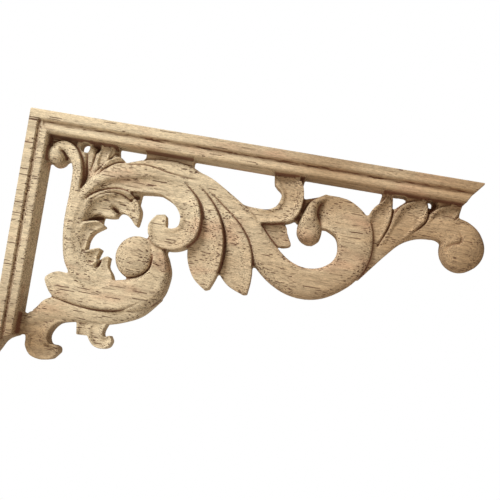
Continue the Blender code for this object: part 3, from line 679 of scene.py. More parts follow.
@dataclass
class LowerScroll(Assembly):
    """The band that rolls up to the big ball, with the leaf and the stem under it."""

    scroll_band: Stroke = Stroke(
        Section.FLAT_TOPPED,
        ((22.3, -58.9), (30.0, -60.5), (38.0, -60.8), (45.0, -59.8), (49.6, -57.3), (53.2, -52.8),
         (54.3, -46.1), (53.2, -41.9), (51.4, -38.7), (48.8, -36.9)),
        ((23.9, -51.9), (30.6, -52.9), (36.2, -51.0), (39.8, -50.1), (43.4, -48.9), (46.0, -46.4),
         (47.2, -43.6), (47.4, -41.0), (46.5, -38.6), (45.2, -37.1)),
        (5.4, 5.3, 4.9, 4.7, 5.0), (5.6, 5.4, 5.5, 5.7, 5.2), (0.8, 1.2, 1.8, 2.1, 0.8), rise=8.0)
    scroll_ball: Ball = Ball(42.2, -42.3, 6.9, 7.2, 4.6, 7.9)
    low_leaf: Stroke = Stroke(
        Section.FALLING,
        ((13.0, -54.5), (14.6, -57.2), (17.0, -59.5), (22.0, -60.4), (33.0, -61.1), (40.5, -59.9),
         (46.6, -56.3)),
        ((13.2, -53.4), (15.5, -51.8), (18.6, -51.1), (24.0, -52.1), (32.0, -53.6), (39.0, -52.7),
         (45.2, -51.1)),
        (4.8, 5.4, 5.9, 6.5, 6.2), (4.8, 5.8, 5.8, 5.6, 5.4), (0.0, 0.5, 0.5, 0.4, 0.2), dive=(0.2, 1.5))
    ball_crevice: Gouge = Gouge(((39.8, -49.6), (43.5, -48.4), (46.2, -46.5), (47.6, -44.1),
                                 (47.8, -40.6)), 0.45, 1.3)
    low_line: Gouge = Gouge(((16.6, -59.8), (19.5, -60.3), (25.6, -61.4), (33.7, -61.6), (40.4, -60.2),
                             (46.4, -56.6)),
                            0.3, 0.5)
    band_root: Blend = Blend(43.5, -54.5, 5.0, 0.8)
    under_band: Stroke = Stroke(
        Section.CROWNED,
        ((10.3, -70.8), (18.6, -68.4), (25.0, -66.7), (34.7, -65.9), (41.5, -63.9), (47.5, -60.6),
         (52.6, -54.6)),
        ((9.4, -66.6), (11.8, -64.2), (14.5, -61.0), (19.4, -59.3), (30.0, -59.7), (40.0, -58.4),
         (49.0, -52.4)),
        (4.6, 4.7, 4.4, 4.4), (4.4, 4.8, 4.8), (0.5, 0.9, 0.8, 0.6), dive=(0.1, 3.0))


@dataclass
class Foot(Assembly):
    """The leaf foot at the lower left, with the tab and the small hook beside it."""

    foot: Stroke = Stroke(
        Section.SPOON,
        ((23.8, -66.8), (20.4, -68.0), (18.3, -70.4), (17.5, -73.0), (18.4, -75.2), (20.2, -75.4),
         (21.6, -76.0), (22.0, -77.5)),
        ((19.7, -63.2), (12.4, -65.2), (8.2, -69.2), (7.3, -71.2), (9.9, -74.0), (10.4, -77.5),
         (12.6, -80.3), (16.4, -81.1), (19.8, -80.2)),
        (5.2, 6.2, 6.4, 5.8, 5.4), (5.0, 4.8, 4.8, 4.6), (0.2, 0.8, 1.1, 0.9, 0.3), rise=5.0)
    foot_tab: Stroke = Stroke(
        Section.SPOON, ((26.0, -65.8), (26.7, -70.7)), ((32.0, -65.8), (30.0, -70.5)),
        (4.4, 4.4), (4.6, 4.6), (0.2, 0.5), rise=1.5)
    foot_hook: Stroke = Stroke(
        Section.SPOON, ((29.9, -65.8), (30.4, -70.0), (32.7, -73.2), (35.7, -74.0), (38.1, -73.0),
                        (38.9, -70.8)),
        ((36.3, -65.4), (35.4, -68.2), (35.8, -69.8), (37.0, -69.6), (37.8, -69.0)),
        (4.4, 5.0, 5.2, 5.0), (4.8, 5.4, 4.8, 4.6), (0.2, 0.9, 0.6, 0.1), rise=2.0)
    foot_notch: Piercing = Piercing(((9.8, -65.7), (11.3, -65.0), (13.3, -65.4), (12.4, -66.2)), 9.0)
    foot_ground: Ground = Ground(
        4.6, ((5.0, -66.2), (9.5, -66.8), (12.5, -67.0), (12.5, -73.4), (9.6, -73.8), (7.2, -74.0),
              (5.0, -73.0)))


class CarvingTrees:
    """The geometry node trees that shape strokes and balls and survey them.

    Attributes:
        station_step: Millimetres between the stations along a stroke.
        points_across: Points across a stroke.
    """

    station_step: float = 0.5
    points_across: int = 33

    def __init__(self) -> None:
        """Build the three trees."""
        self.strokes = self._stroke_tree()
        self.balls = self._ball_tree()
        self.survey = self._survey_tree()

    @staticmethod
    def _group(name: str, sockets: dict[str, str]) -> tuple[bpy.types.NodeTree, bpy.types.Node]:
        """Start a geometry node tree.

        Args:
            name: The tree's name.
            sockets: Its inputs beside the geometry, name to socket type.

        Returns:
            The tree and its input node.
        """
        tree = bpy.data.node_groups.new(name, "GeometryNodeTree")
        tree.interface.new_socket("Geometry", in_out="INPUT", socket_type="NodeSocketGeometry")
        for label, kind in sockets.items():
            tree.interface.new_socket(label, in_out="INPUT", socket_type=kind)
        tree.interface.new_socket("Geometry", in_out="OUTPUT", socket_type="NodeSocketGeometry")
        return tree, add_node(tree, "NodeGroupInput")

    @staticmethod
    def _end(tree: bpy.types.NodeTree, geometry: bpy.types.NodeSocket, material: Any) -> None:
        """End a tree in real geometry with its material.

        Args:
            tree: The tree.
            geometry: The socket that carries its result.
            material: The input socket that names the material.
        """
        real = add_node(tree, "GeometryNodeRealizeInstances", {"Geometry": geometry})
        dressed = add_node(tree, "GeometryNodeSetMaterial", {
            "Geometry": real.outputs[0], "Material": material})
        add_node(tree, "NodeGroupOutput", {"Geometry": dressed.outputs[0]})

    @staticmethod
    def _table_switch(tree: bpy.types.NodeTree, tables: list[Table], across: Any, index: Any) -> Any:
        """Choose one of several tables and read it.

        Args:
            tree: The tree.
            tables: Each table as (place, value) points.
            across: The socket with the place to read at.
            index: The socket that says which table.

        Returns:
            The socket with the value.
        """
        switch = add_node(tree, "GeometryNodeIndexSwitch", {"Index": index}, data_type="FLOAT")
        while len(switch.index_switch_items) < len(tables):
            switch.index_switch_items.new()
        for number, table in enumerate(tables):
            curve = add_node(tree, "ShaderNodeFloatCurve", {"Value": across})
            curve.mapping.use_clip = False
            line = curve.mapping.curves[0]
            line.points[0].location = table[0]
            line.points[1].location = table[-1]
            for place, value in table[1:-1]:
                line.points.new(place, value)
            for point in line.points:
                point.handle_type = "AUTO_CLAMPED"
            curve.mapping.update()
            tree.links.new(curve.outputs[0], switch.inputs[number + 1])
        return switch.outputs[0]

    def _stroke_tree(self) -> bpy.types.NodeTree:
        """Build the tree that sweeps a section between two edges stored on a path.

        Returns:
            The tree. It reads the path's vectors edge_a and edge_b and its relief.
        """
        tree, start = self._group("carved_stroke", {
            "Points Across": "NodeSocketInt", "Section": "NodeSocketInt", "Material": "NodeSocketMaterial"})
        path = add_node(tree, "GeometryNodeMeshToCurve", {"Mesh": start.outputs["Geometry"]})
        line = add_node(tree, "GeometryNodeCurvePrimitiveLine", {"End": (1.0, 0.0, 0.0)})
        points = add_node(tree, "GeometryNodeResampleCurve", {
            "Curve": line.outputs[0], "Count": start.outputs["Points Across"]})
        share = add_node(tree, "GeometryNodeSplineParameter")
        profile = add_node(tree, "GeometryNodeStoreNamedAttribute", {
            "Geometry": points.outputs[0], "Name": "across",
            "Value": share.outputs["Factor"]}, data_type="FLOAT")
        sheet = add_node(tree, "GeometryNodeCurveToMesh", {
            "Curve": path.outputs[0], "Profile Curve": profile.outputs[0]})

        def stored(name: str, kind: str = "FLOAT_VECTOR") -> Any:
            """Read a named attribute as a socket."""
            kept = add_node(tree, "GeometryNodeInputNamedAttribute", {"Name": name}, data_type=kind)
            return kept.outputs[0]

        across = stored("across", "FLOAT")
        base = add_node(tree, "ShaderNodeMix", {0: across, 4: stored("edge_a"), 5: stored("edge_b")},
                        data_type="VECTOR", clamp_factor=False)
        shape = self._table_switch(tree, [s.value for s in Section], across, start.outputs["Section"])
        rise = add_node(
            tree, "ShaderNodeMath", {0: stored("relief", "FLOAT"), 1: shape}, operation="MULTIPLY")
        forward = add_node(tree, "ShaderNodeVectorMath", {0: (0.0, -1.0, 0.0), "Scale": rise.outputs[0]},
                           operation="SCALE")
        raised = add_node(
            tree, "ShaderNodeVectorMath", {0: base.outputs[1], 1: forward.outputs[0]}, operation="ADD")
        placed = add_node(tree, "GeometryNodeSetPosition", {
            "Geometry": sheet.outputs[0], "Position": raised.outputs[0]})
        self._end(tree, placed.outputs[0], start.outputs["Material"])
        return tree

    def _ball_tree(self) -> bpy.types.NodeTree:
        """Build the tree that makes a ball end as a stretched sphere.

        Returns:
            The tree, with the ball's centre and half sizes as inputs.
        """
        tree, start = self._group("turned_ball", {
            "Centre": "NodeSocketVector", "Half Sizes": "NodeSocketVector", "Material": "NodeSocketMaterial"})
        sphere = add_node(tree, "GeometryNodeMeshUVSphere", {"Segments": 96, "Rings": 64, "Radius": 1.0})
        placed = add_node(tree, "GeometryNodeTransform", {
            "Geometry": sphere.outputs[0], "Translation": start.outputs["Centre"],
            "Scale": start.outputs["Half Sizes"]})
        self._end(tree, placed.outputs[0], start.outputs["Material"])
        return tree

    def _survey_tree(self) -> bpy.types.NodeTree:
        """Build the tree that sounds the sheets' height at every point of a raster.

        Returns:
            The tree. Its points carry the height in millimetres, or OUTSIDE where nothing lies.
        """
        tree, start = self._group("height_survey", {
            "Sheets": "NodeSocketObject", "Columns": "NodeSocketInt", "Rows": "NodeSocketInt",
            "Corner": "NodeSocketVector", "Pitch": "NodeSocketFloat", "Material": "NodeSocketMaterial"})
        sheets = add_node(tree, "GeometryNodeObjectInfo", {"Object": start.outputs["Sheets"]})

        def maths(operation: str, first: Any, second: Any) -> Any:
            """Add one sum and return its socket."""
            return add_node(tree, "ShaderNodeMath", {0: first, 1: second}, operation=operation).outputs[0]

        count = maths("MULTIPLY", start.outputs["Columns"], start.outputs["Rows"])
        index = add_node(tree, "GeometryNodeInputIndex").outputs[0]
        row = maths("FLOOR", maths("DIVIDE", maths("ADD", index, 0.5), start.outputs["Columns"]), 0.0)
        column = maths("SUBTRACT", index, maths("MULTIPLY", row, start.outputs["Columns"]))
        step = add_node(tree, "ShaderNodeCombineXYZ", {0: column, 1: 0.0, 2: row})
        span = add_node(tree, "ShaderNodeVectorMath", {0: step.outputs[0], "Scale": start.outputs["Pitch"]},
                        operation="SCALE")
        place = add_node(tree, "ShaderNodeVectorMath", {0: span.outputs[0], 1: start.outputs["Corner"]},
                         operation="ADD")
        points = add_node(tree, "GeometryNodePoints", {"Count": count, "Position": place.outputs[0]})
        position = add_node(tree, "GeometryNodeInputPosition")
        ray = add_node(tree, "GeometryNodeRaycast", {
            "Target Geometry": sheets.outputs["Geometry"], "Source Position": position.outputs[0],
            "Ray Direction": (0.0, 1.0, 0.0), "Ray Length": 0.1})
        depth = add_node(tree, "ShaderNodeSeparateXYZ", {0: ray.outputs["Hit Position"]})
        height = maths("MULTIPLY", depth.outputs["Y"], -1.0 / MM)
        found = add_node(tree, "GeometryNodeSwitch", {
            "Switch": ray.outputs["Is Hit"], "False": OUTSIDE, "True": height}, input_type="FLOAT")
        kept = add_node(tree, "GeometryNodeStoreNamedAttribute", {
            "Geometry": points.outputs[0], "Name": "height", "Value": found.outputs[0]}, data_type="FLOAT")
        vertices = add_node(tree, "GeometryNodePointsToVertices", {"Points": kept.outputs[0]})
        self._end(tree, vertices.outputs[0], start.outputs["Material"])
        return tree

    @staticmethod
    def evaluate(
            name: str, mesh: bpy.types.Mesh, tree: bpy.types.NodeTree,
            inputs: dict[str, Any]) -> bpy.types.Object:
        """Run a tree on a mesh and keep the plain result.

        Args:
            name: The object's name.
            mesh: What the tree starts from.
            tree: The tree.
            inputs: Values of its inputs by name.

        Returns:
            The object with the plain mesh and no modifier.
        """
        item = add_object(name, mesh)
        modifier = item.modifiers.new("shape", "NODES")
        modifier.node_group = tree
        identifiers = {s.name: s.identifier for s in tree.interface.items_tree if s.in_out == "INPUT"}
        for label, value in inputs.items():
            modifier[identifiers[label]] = value
        evaluated = item.evaluated_get(bpy.context.evaluated_depsgraph_get())
        result = bpy.data.meshes.new_from_object(evaluated)
        item.modifiers.clear()
        item.data = result
        bpy.data.meshes.remove(mesh)
        return item

    def stroke_sheet(self, name: str, stroke: Stroke) -> bpy.types.Object:
        """Make the face of one stroke.

        Args:
            name: The stroke's name.
            stroke: Its edges, heights and section.

        Returns:
            The sheet.
        """
        reach = max(length_of(stroke.edge_a), length_of(stroke.edge_b))
        count = max(3, int(reach / self.station_step))
        shares = np.linspace(0.0, 1.0, count)
        rows = {}
        for label, edge, heights in (("edge_a", stroke.edge_a, stroke.height_a),
                                     ("edge_b", stroke.edge_b, stroke.height_b)):
            flat = smooth(edge, shares)
            rows[label] = np.array([to_world(x, z, h) for (x, z), h in zip(flat, eased(heights, shares))])
        mesh = bpy.data.meshes.new(name)
        mesh.from_pydata(rows["edge_a"].tolist(), [(i, i + 1) for i in range(count - 1)], [])
        for label, values in rows.items():
            store(mesh, label, values)
        store(mesh, "relief", eased(stroke.relief, shares) * MM)
        risen = np.clip(shares * reach / stroke.rise, 0.0, 1.0) if stroke.rise else np.ones(count)
        store(mesh, "grown", eased((0.0, 1.0), risen))
        share, depth = stroke.dive
        gone = np.clip((shares - 1.0) / max(share, 0.01) + 1.0, 0.0, 1.0)
        store(mesh, "sunk", depth * eased((0.0, 1.0), gone))
        return self.evaluate(name, mesh, self.strokes, {
            "Points Across": self.points_across, "Section": list(Section).index(stroke.section)})

    def ball_sheet(self, name: str, ball: Ball) -> bpy.types.Object:
        """Make one ball end.

        Args:
            name: The ball's name.
            ball: Its place and sizes.

        Returns:
            The ball.
        """
        half = (ball.radius_x * MM, (ball.crest - ball.edge) * MM, ball.radius_z * MM)
        return self.evaluate(name, bpy.data.meshes.new(name), self.balls, {
            "Centre": to_world(ball.x, ball.z, ball.edge), "Half Sizes": half})


class Relief:
    """The carving as a raster of heights over the board, in millimetres.

    Attributes:
        pitch: Millimetres between the raster's points.
        left: Where its first column stands.
        low: Where its first row stands.
        columns: Its columns.
        rows: Its rows.
        carry: Blur passes that carry heights past the sheets, for what grows out of them.
    """

    pitch: float = 0.1
    left: float = -1.95
    low: float = -84.45
    columns: int = 1590
    rows: int = 864
    carry: int = 60

    def __init__(self, sheets: list[bpy.types.Object], trees: CarvingTrees) -> None:
        """Survey the sheets, then again with those that grow out of the others settled on them.

        Args:
            sheets: The carved sheets, which are used up.
            trees: The trees, for the survey.
        """
        growing = [sheet for sheet in sheets if self._stored(sheet, "grown", 1.0).min() < 1.0]
        found = self._survey([sheet for sheet in sheets if sheet not in growing], trees)
        solid = (found > 0).astype(float)
        reached = blurred(solid, self.carry)
        near = blurred(found * solid, self.carry) / np.maximum(reached, 1e-9)
        under = np.where(solid > 0, found, np.where(reached > 1e-4, near, OUTSIDE))
        for sheet in sheets:
            self._settle(sheet, under)
        self.heights = self._survey(sheets, trees)
        for sheet in sheets:
            bpy.data.objects.remove(sheet)

    @staticmethod
    def _stored(sheet: bpy.types.Object, name: str, other: float) -> np.ndarray:
        """Read a number that each point of a sheet carries.

        Args:
            sheet: The sheet.
            name: The number's name.
            other: Its value where the sheet has none.

        Returns:
            One number for each point.
        """
        values = np.full(len(sheet.data.vertices), other, np.float32)
        stored = sheet.data.attributes.get(name)
        if stored:
            stored.data.foreach_get("value", values)
        return values

    def _settle(self, sheet: bpy.types.Object, under: np.ndarray) -> None:
        """Lay a sheet's start on what lies under it, and sink its end.

        Args:
            sheet: The sheet.
            under: The heights under it.
        """
        places = np.empty(len(sheet.data.vertices) * 3, np.float32)
        sheet.data.vertices.foreach_get("co", places)
        places = places.reshape(-1, 3)
        x, z = places[:, 0] / MM + ORIGIN_INSET, places[:, 2] / MM - ORIGIN_INSET
        column = np.clip(((x - self.left) / self.pitch).round().astype(int), 0, self.columns - 1)
        row = np.clip(((z - self.low) / self.pitch).round().astype(int), 0, self.rows - 1)
        own = -places[:, 1] / MM
        base = np.where(under[row, column] > 0, under[row, column], own)
        height = base + (own - base) * self._stored(sheet, "grown", 1.0) - self._stored(sheet, "sunk", 0.0)
        places[:, 1] = -MM * height
        sheet.data.vertices.foreach_set("co", places.ravel())
        sheet.data.update()

    def _survey(self, sheets: list[bpy.types.Object], trees: CarvingTrees) -> np.ndarray:
        """Sound the highest sheet at every point of the raster.

        Args:
            sheets: The carved sheets.
            trees: The trees, for the survey.

        Returns:
            The heights.
        """
        joined = bmesh.new()
        for sheet in sheets:
            joined.from_mesh(sheet.data)
        mesh = bpy.data.meshes.new("sheets")
        joined.to_mesh(mesh)
        joined.free()
        target = add_object("sheets", mesh)
        survey = trees.evaluate("survey", bpy.data.meshes.new("survey"), trees.survey, {
            "Sheets": target, "Columns": self.columns, "Rows": self.rows,
            "Corner": Vector(to_world(self.left, self.low, 50.0)), "Pitch": self.pitch * MM})
        values = np.empty(self.columns * self.rows, np.float32)
        survey.data.attributes["height"].data.foreach_get("value", values)
        bpy.data.objects.remove(survey)
        bpy.data.objects.remove(target)
        return values.reshape(self.rows, self.columns).astype(np.float64)

    def places(self) -> tuple[np.ndarray, np.ndarray]:
        """Give the places of the raster's points.

        Returns:
            The x and the z of every point.
        """
        x = self.left + self.pitch * np.arange(self.columns)
        z = self.low + self.pitch * np.arange(self.rows)
        return tuple(np.meshgrid(x, z))

    def window(self, points: Table, margin: float) -> tuple[tuple[slice, slice], np.ndarray, np.ndarray]:
        """Find the part of the raster round some points.

        Args:
            points: The points.
            margin: How far the window reaches past them.

        Returns:
            The slices of the window, and the x and z of its raster points.
        """
        spots = np.array(points)
        low = (spots.min(0) - margin - (self.left, self.low)) / self.pitch
        high = (spots.max(0) + margin - (self.left, self.low)) / self.pitch
        first = np.maximum(low.astype(int), 0)
        last = np.minimum(high.astype(int) + 2, (self.columns, self.rows))
        x = self.left + self.pitch * np.arange(first[0], last[0])
        z = self.low + self.pitch * np.arange(first[1], last[1])
        return (slice(first[1], last[1]), slice(first[0], last[0])), *np.meshgrid(x, z)

    def _sink(self, area: tuple[slice, slice], depth: np.ndarray) -> None:
        """Lower the wood in a part of the raster."""
        held = self.heights[area]
        held[held > 0] -= depth[held > 0]

    def lay_ground(self, ground: Ground) -> None:
        """Leave the ground's thickness wherever nothing higher stands.

        Args:
            ground: The ground.
        """
        area, x, z = self.window(ground.outline, 0.0)
        held = self.heights[area]
        held[within(ground.outline, x, z) & (held < ground.height)] = ground.height

    def pierce(self, piercing: Piercing) -> None:
        """Open a hole through whatever is lower than its ceiling.

        Args:
            piercing: The hole.
        """
        area, x, z = self.window(piercing.outline, 0.0)
        held = self.heights[area]
        held[within(piercing.outline, x, z) & (held <= piercing.ceiling)] = OUTSIDE

    def chip(self, spot: Point, reach_x: float, reach_z: float, depth: float) -> None:
        """Tear a chip out of the face.

        Args:
            spot: Its centre.
            reach_x: Its half width along the grain.
            reach_z: Its half width across it.
            depth: Its depth.
        """
        area, x, z = self.window((spot, spot), 3 * max(reach_x, reach_z))
        self._sink(area, depth * np.exp(-((x - spot[0]) / reach_x) ** 2 - ((z - spot[1]) / reach_z) ** 2))

    def blend(self, patch: Blend) -> None:
        """Let the strokes flow into each other at a place.

        Args:
            patch: The place.
        """
        spot = ((patch.x, patch.z), (patch.x, patch.z))
        area, x, z = self.window(spot, 1.5 * patch.radius)
        held = self.heights[area]
        solid = (held > 0).astype(float)
        even = blurred_within(held * solid, solid, int(2 * (patch.softness / self.pitch) ** 2))
        reach = np.hypot(x - patch.x, z - patch.z) / patch.radius
        share = eased((0.0, 1.0), np.clip(1.0 - reach, 0.0, 1.0)) ** 0.5 * solid
        held += share * (even - held)

    def cut(self, gouge: Gouge) -> None:
        """Cut a groove, fading in and out at its ends.

        Args:
            gouge: The groove.
        """
        shares = np.linspace(0.0, 1.0, int(length_of(gouge.path) / (0.4 * gouge.width)) + 2)
        area, x, z = self.window(gouge.path, 3 * gouge.width)
        depth = np.zeros(x.shape)
        for share, (px, pz) in zip(shares, smooth(gouge.path, shares)):
            fade = math.sin(math.pi * min(max(share, 0.02), 0.98)) ** 0.5
            reach = ((x - px) ** 2 + (z - pz) ** 2) / gouge.width ** 2
            depth = np.maximum(depth, fade * gouge.depth * np.exp(-reach))
        self._sink(area, depth)

    def _roll(self, heights: np.ndarray, radius: float, pick: Callable, lift: float) -> np.ndarray:
        """Roll a ball over or under a surface.

        Args:
            heights: The surface.
            radius: The ball's radius.
            pick: Takes the higher or the lower of two surfaces.
            lift: Minus one to roll over, plus one to roll under.

        Returns:
            The surface that the ball's touching point follows.
        """
        reach = int(radius / self.pitch)
        rows, columns = heights.shape
        edge = np.pad(heights, reach, mode="edge")
        rolled = heights.copy()
        for down in range(-reach, reach + 1):
            for side in range(-reach, reach + 1):
                away = math.hypot(down, side) * self.pitch
                if 0 < away <= radius:
                    drop = lift * (radius - math.sqrt(radius ** 2 - away ** 2))
                    part = edge[reach + down:reach + down + rows, reach + side:reach + side + columns]
                    rolled = pick(rolled, part + drop)
        return rolled

    def round_creases(self, radius: float) -> None:
        """Round every crease as a ball-nosed cutter of this radius leaves it."""
        over = self._roll(self.heights, radius, np.maximum, -1.0)
        self.heights = self._roll(over, radius, np.minimum, 1.0)

    def round_edges(self, radius: float) -> None:
        """Round every edge as light sanding leaves it."""
        under = self._roll(self.heights, radius, np.minimum, 1.0)
        self.heights = self._roll(under, radius, np.maximum, -1.0)


class Board:
    """Turns a relief into one closed mesh with true outlines.

    Attributes:
        mask_passes: Blur passes that smooth the outline.
        small_loop: Square millimetres under which a hole is closed.
        fine: Spacing of the mesh where the face is lively, in raster steps.
        coarse: Spacing where it is calm, in raster steps.
        budget: Points that the face may have.
        turn: Degrees of turn after which an outline gets a point.
        longest: Longest step of an outline, in millimetres.
        margin: Raster steps that the heights are carried past the outline.
        inset: Value of the smooth mask past which the face has points of its own.
        hollows: How hollows are read: blur passes, millimetres that count as full, greatest share.
        basin: The same for broad hollows, which are read on a coarser raster.
        stains: Spots painted darker as x, z, reach and share: painted shadow over the foot, painted shade on
            the sunken top of the ring, and milder darkening near the far end, the balls and the crown.
    """

    mask_passes: int = 5
    small_loop: float = 0.5
    fine: int = 2
    coarse: int = 4
    budget: int = 90000
    turn: float = 7.0
    longest: float = 0.8
    margin: int = 6
    inset: float = 0.86
    hollows: tuple[tuple[int, float, float], ...] = ((30, 0.7, 0.6), (7, 0.22, 0.6))
    basin: tuple[int, float, float] = (14, 3.5, 0.35)
    stains: tuple[tuple[float, float, float, float], ...] = (
        (10.0, -76.0, 13.0, 0.9), (22.0, -72.0, 9.0, 0.3), (150.0, -20.0, 8.0, 0.35),
        (147.0, -4.0, 8.0, 0.35), (99.0, -9.0, 9.0, 0.45), (40.0, -43.0, 7.0, 0.2), (40.0, -13.0, 10.0, 0.25))

    # Which raster edges the outline joins in a cell, by the corners that lie inside: bottom,
    # right, top and left, with the inside on the left hand.
    JOINS = {
        1: ("BL",), 2: ("RB",), 3: ("RL",), 4: ("TR",), 5: ("BL", "TR"), 6: ("TB",), 7: ("TL",),
        8: ("LT",), 9: ("BT",), 10: ("RB", "LT"), 11: ("RT",), 12: ("LR",), 13: ("BR",), 14: ("LB",)}

    def __init__(self, relief: Relief) -> None:
        """Keep the relief and work out its smooth mask.

        Args:
            relief: The finished relief.
        """
        self.relief = relief
        solid = relief.heights > 0
        self.mask = blurred(solid.astype(float), self.mask_passes)
        self.heights = self._spread(relief.heights, solid)

    def _spread(self, heights: np.ndarray, solid: np.ndarray) -> np.ndarray:
        """Carry the face's heights a few steps past its outline.

        Args:
            heights: The raster of heights.
            solid: Where there is wood.

        Returns:
            The heights, spread outward and lightly blurred within the wood.
        """
        weight = solid.astype(float)
        values = np.where(solid, blurred_within(np.where(solid, heights, 0.0), weight, 1), 0.0)
        for _ in range(self.margin):
            near = blurred_within(values, weight, 1)
            fresh = (weight == 0) & (blurred(weight, 1) > 1e-6)
            values = np.where(fresh, near, values)
            weight = np.where(fresh, 1.0, weight)
        return values

    def outlines(self) -> list[np.ndarray]:
        """Trace the outline and the holes.

        Returns:
            Closed loops of millimetre points, with the wood on the left hand.
        """
        wood = self.mask > 0.5
        code = (wood[:-1, :-1] * 1 + wood[:-1, 1:] * 2 + wood[1:, 1:] * 4 + wood[1:, :-1] * 8)
        follow: dict[tuple, tuple] = {}
        for row, column in zip(*np.nonzero((code > 0) & (code < 15))):
            edges = {"B": (0, row, column), "T": (0, row + 1, column),
                     "L": (1, row, column), "R": (1, row, column + 1)}
            for join in self.JOINS[int(code[row, column])]:
                follow[edges[join[0]]] = edges[join[1]]
        loops = []
        while follow:
            key, following = follow.popitem()
            chain = [key]
            while following != key:
                chain.append(following)
                following = follow.pop(following)
            points = np.array([self._crossing(edge) for edge in chain])
            x, z = points[:, 0], points[:, 1]
            area = 0.5 * float(np.sum(x * np.roll(z, -1) - np.roll(x, -1) * z))
            if abs(area) > self.small_loop:
                loops.append(self._thinned(points))
        return sorted(loops, key=lambda loop: -len(loop))

    def _crossing(self, edge: tuple[int, int, int]) -> Point:
        """Find where the outline crosses an edge of the raster.

        Args:
            edge: Upright or not, row and column of its first end.

        Returns:
            The crossing in millimetres.
        """
        upright, row, column = edge
        first = self.mask[row, column]
        second = self.mask[row + upright, column + 1 - upright]
        share = (0.5 - first) / (second - first)
        relief = self.relief
        return (relief.left + relief.pitch * (column + (1 - upright) * share),
                relief.low + relief.pitch * (row + upright * share))

    def _thinned(self, points: np.ndarray) -> np.ndarray:
        """Keep an outline's points only as close as its turns need.

        Args:
            points: The traced loop.

        Returns:
            The loop with fewer points.
        """
        smoothed = points
        for _ in range(2):
            smoothed = (np.roll(smoothed, 1, 0) + 2 * smoothed + np.roll(smoothed, -1, 0)) / 4
        step = np.roll(smoothed, -1, 0) - smoothed
        heading = np.unwrap(np.arctan2(step[:, 1], step[:, 0]))
        reach = np.hypot(step[:, 0], step[:, 1])
        kept, turned, gone = [0], heading[0], 0.0
        for index in range(1, len(points)):
            gone += reach[index - 1]
            if abs(heading[index] - turned) > math.radians(self.turn) or gone > self.longest:
                kept.append(index)
                turned, gone = heading[index], 0.0
        return smoothed[kept]

    def sample(self, raster: np.ndarray, x: np.ndarray, z: np.ndarray) -> np.ndarray:
        """Read a raster between its points.

        Args:
            raster: The raster.
            x: Where to read it.
            z: Where to read it.

        Returns:
            The values there.
        """
        relief = self.relief
        column = np.clip((x - relief.left) / relief.pitch, 0, relief.columns - 1.001)
        row = np.clip((z - relief.low) / relief.pitch, 0, relief.rows - 1.001)
        c, r = column.astype(int), row.astype(int)
        u, v = column - c, row - r
        low = raster[r, c] * (1 - u) + raster[r, c + 1] * u
        high = raster[r + 1, c] * (1 - u) + raster[r + 1, c + 1] * u
        return low * (1 - v) + high * v

    def fields(self) -> dict[str, np.ndarray]:
        """Work out what the wood's finish needs to know of each place.

        Returns:
            cavity: How deep it lies among what stands round it, 0 to 1, which the finish darkens as painted
                shade.
            stain: How far it is painted darker there for shadow and shade, 0 to 1.
            end_grain: How far the cut crosses the grain there, 0 to 1.
        """
        weight = (self.relief.heights > 0).astype(float)
        lifted = self.heights * weight
        cavity = np.zeros(weight.shape)
        for passes, full, most in self.hollows:
            around = blurred_within(lifted, weight, passes, 0.02)
            cavity += np.clip((around - self.heights) / full, 0.0, most)
        passes, full, most = self.basin
        wood = np.maximum(self._broadly_blurred(weight, passes), 0.02)
        around = self._broadly_blurred(lifted, passes) / wood
        cavity += np.clip((around - self.heights) / full, 0.0, most)

        # The mark fades toward the outline and the openings.
        inward = np.clip((blurred(weight, 30) - 0.5) / 0.35, 0.12, 1.0)
        slope = np.abs(np.gradient(blurred(self.heights, 3), axis=1)) / self.relief.pitch
        x, z = self.relief.places()
        # Spots painted darker for shadow and shade: over the foot, on the sunken top of the ring, and milder
        # elsewhere.
        stain = np.zeros(x.shape)
        for spot_x, spot_z, reach, share in self.stains:
            stain += share * np.exp(-((x - spot_x) ** 2 + (z - spot_z) ** 2) / reach ** 2)
        return {
            "cavity": np.clip(blurred(cavity, 1), 0.0, 1.0) * inward,
            "stain": np.clip(stain, 0.0, 1.0),
            "end_grain": np.clip(blurred(slope, 4) * 1.6, 0.0, 1.0)}

    @staticmethod
    def _broadly_blurred(values: np.ndarray, passes: int) -> np.ndarray:
        """Blur a raster widely, by way of a smaller one.

        Args:
            values: The raster.
            passes: Blur passes on the smaller one.

        Returns:
            The blurred raster.
        """
        small = blurred(values[::4, ::4], passes)
        grown = np.repeat(np.repeat(small, 4, 0), 4, 1)
        return blurred(grown[:values.shape[0], :values.shape[1]], 6)

    @staticmethod
    def _in_wood(triangles: np.ndarray, points: np.ndarray, loops: list[np.ndarray]) -> np.ndarray:
        """Keep the triangles that lie in the wood.

        Args:
            triangles: Three point numbers each; the outlines' points come first.
            points: The points.
            loops: The outlines.

        Returns:
            The triangles within the wood.
        """
        unsure = triangles.max(1) < sum(len(loop) for loop in loops)
        x, z = points[triangles[unsure]].mean(1).T
        inside = np.zeros(len(x), bool)
        for loop in loops:
            inside ^= within(loop, x, z)
        kept = ~unsure
        kept[unsure] = inside
        return triangles[kept]

